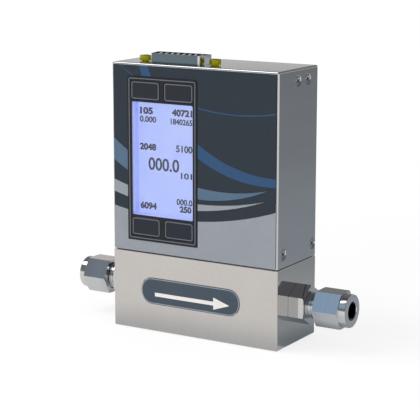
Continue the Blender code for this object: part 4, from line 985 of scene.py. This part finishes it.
# A key has an ear on each side behind the frame, so its face is narrower than its box.
EAR, MARGIN = 0.5 * MM, 0.1 * MM
for key in ("top_left", "top_right", "bottom_left", "bottom_right"):
    low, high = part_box("key_" + key)
    ring = outline(f"key_outline_{key}", *ring_corners(low, high, EAR + MARGIN, MARGIN), low.y, LINE_W, LINE_R)
    finish(ring, line_ink, "key_" + key)

# %% Figures on the display
panel_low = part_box("display_panel")[0]
TEXT_DEPTH = 0.01
dark_crystal = ink("dark_crystal", "10132c", "151934")


def figures(name, words, low, high, bold=0.03):
    """Plain numbers as thin as ink on the display's glass, between two corners given as (x, z) in millimetres."""
    deselect()
    bpy.ops.object.text_add(location=(0, 0, 0))
    text = bpy.context.object
    text.data.body = words
    text.data.size = 1.0
    text.data.extrude = TEXT_DEPTH
    text.data.offset = bold
    bpy.ops.object.convert(target="MESH")
    text = bpy.context.object
    points = [vertex.co.copy() for vertex in text.data.vertices]
    left, right = min(p.x for p in points), max(p.x for p in points)
    bottom, top = min(p.y for p in points), max(p.y for p in points)
    wide = (high[0] - low[0]) * MM / (right - left)
    tall = (high[1] - low[1]) * MM / (top - bottom)
    text.scale = (wide, tall, INK / TEXT_DEPTH)
    text.rotation_euler = (math.pi / 2, 0, 0)
    text.location = (low[0] * MM - left * wide, panel_low.y - INK / 2, low[1] * MM - bottom * tall)
    bpy.ops.object.transform_apply(location=True, rotation=True, scale=True)
    text.name = name
    finish(text, dark_crystal, "meter")


figures("reading_upper_left", "105", (-28.5, 89.9), (-22.2, 92.8), 0.05)
figures("value_upper_left", "0.000", (-28.6, 86.6), (-20.6, 89.1))
figures("reading_upper_right", "40721", (-13.0, 89.95), (-3.3, 92.85), 0.05)
figures("value_upper_right", "1840265", (-13.6, 86.5), (-3.3, 89.0))
figures("reading_middle_left", "2048", (-28.7, 75.05), (-20.7, 77.9), 0.05)
figures("reading_middle_right", "5100", (-11.1, 75.3), (-3.2, 78.2), 0.03)
figures("reading_large", "000.0", (-24.5, 66.9), (-9.6, 72.2), 0.02)
figures("value_large", "101", (-8.8, 64.5), (-3.4, 67.0))
figures("reading_lower_left", "6094", (-28.6, 50.3), (-20.6, 53.3), 0.05)
figures("value_lower_right", "000.0", (-10.9, 53.5), (-3.3, 56.1))
figures("reading_lower_right", "250", (-9.4, 50.5), (-3.75, 53.2), 0.05)

# %% [markdown]
# ## The badge
# A long slate plate with round ends is let into the block. It carries a pale arrow that shows which way the gas
# flows.

# %% Badge rim and arrow
badge_low, badge_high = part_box("flow_badge")
rim_ink = ink("pale_rim_ink", "8d969e", "98a1a9")
arrow_ink = ink("ivory_ink", "e4e0dc", "ece8e4")
rim = outline("badge_rim", *ring_corners(badge_low, badge_high, MARGIN, MARGIN), badge_low.y, 0.35 * MM, 4.9 * MM)
finish(rim, rim_ink, "meter")
# The arrow's shaft from its tail to where it enters the head, and the head's length and height, in millimetres.
TAIL_X, SHAFT_X, SHAFT_LOW, SHAFT_HIGH, ARROW_Z = -18.55, 9.9, 14.95, 16.55, 15.75
HEAD_X, HEAD_LENGTH, HEAD_HEIGHT = 9.6, 7.6, 5.1
shaft = slab(
    "flow_arrow",
    (TAIL_X * MM, badge_low.y - INK, SHAFT_LOW * MM),
    (SHAFT_X * MM, badge_low.y + INK, SHAFT_HIGH * MM),
)
deselect()
bpy.ops.mesh.primitive_cylinder_add(
    vertices=3, radius=1, depth=2 * INK, location=(0, 0, 0), rotation=(math.pi / 2, math.pi / 2, 0)
)
bpy.ops.object.transform_apply(location=True, rotation=True, scale=True)
head = bpy.context.object
left = min(v.co.x for v in head.data.vertices)
right = max(v.co.x for v in head.data.vertices)
tall = max(v.co.z for v in head.data.vertices) * 2
head.scale = (HEAD_LENGTH * MM / (right - left), 1, HEAD_HEIGHT * MM / tall)
head.location = (HEAD_X * MM - left * head.scale.x, badge_low.y, ARROW_Z * MM)
bpy.ops.object.transform_apply(location=True, rotation=True, scale=True)
cut(shaft, head, "UNION")
finish(shaft, arrow_ink, "meter")
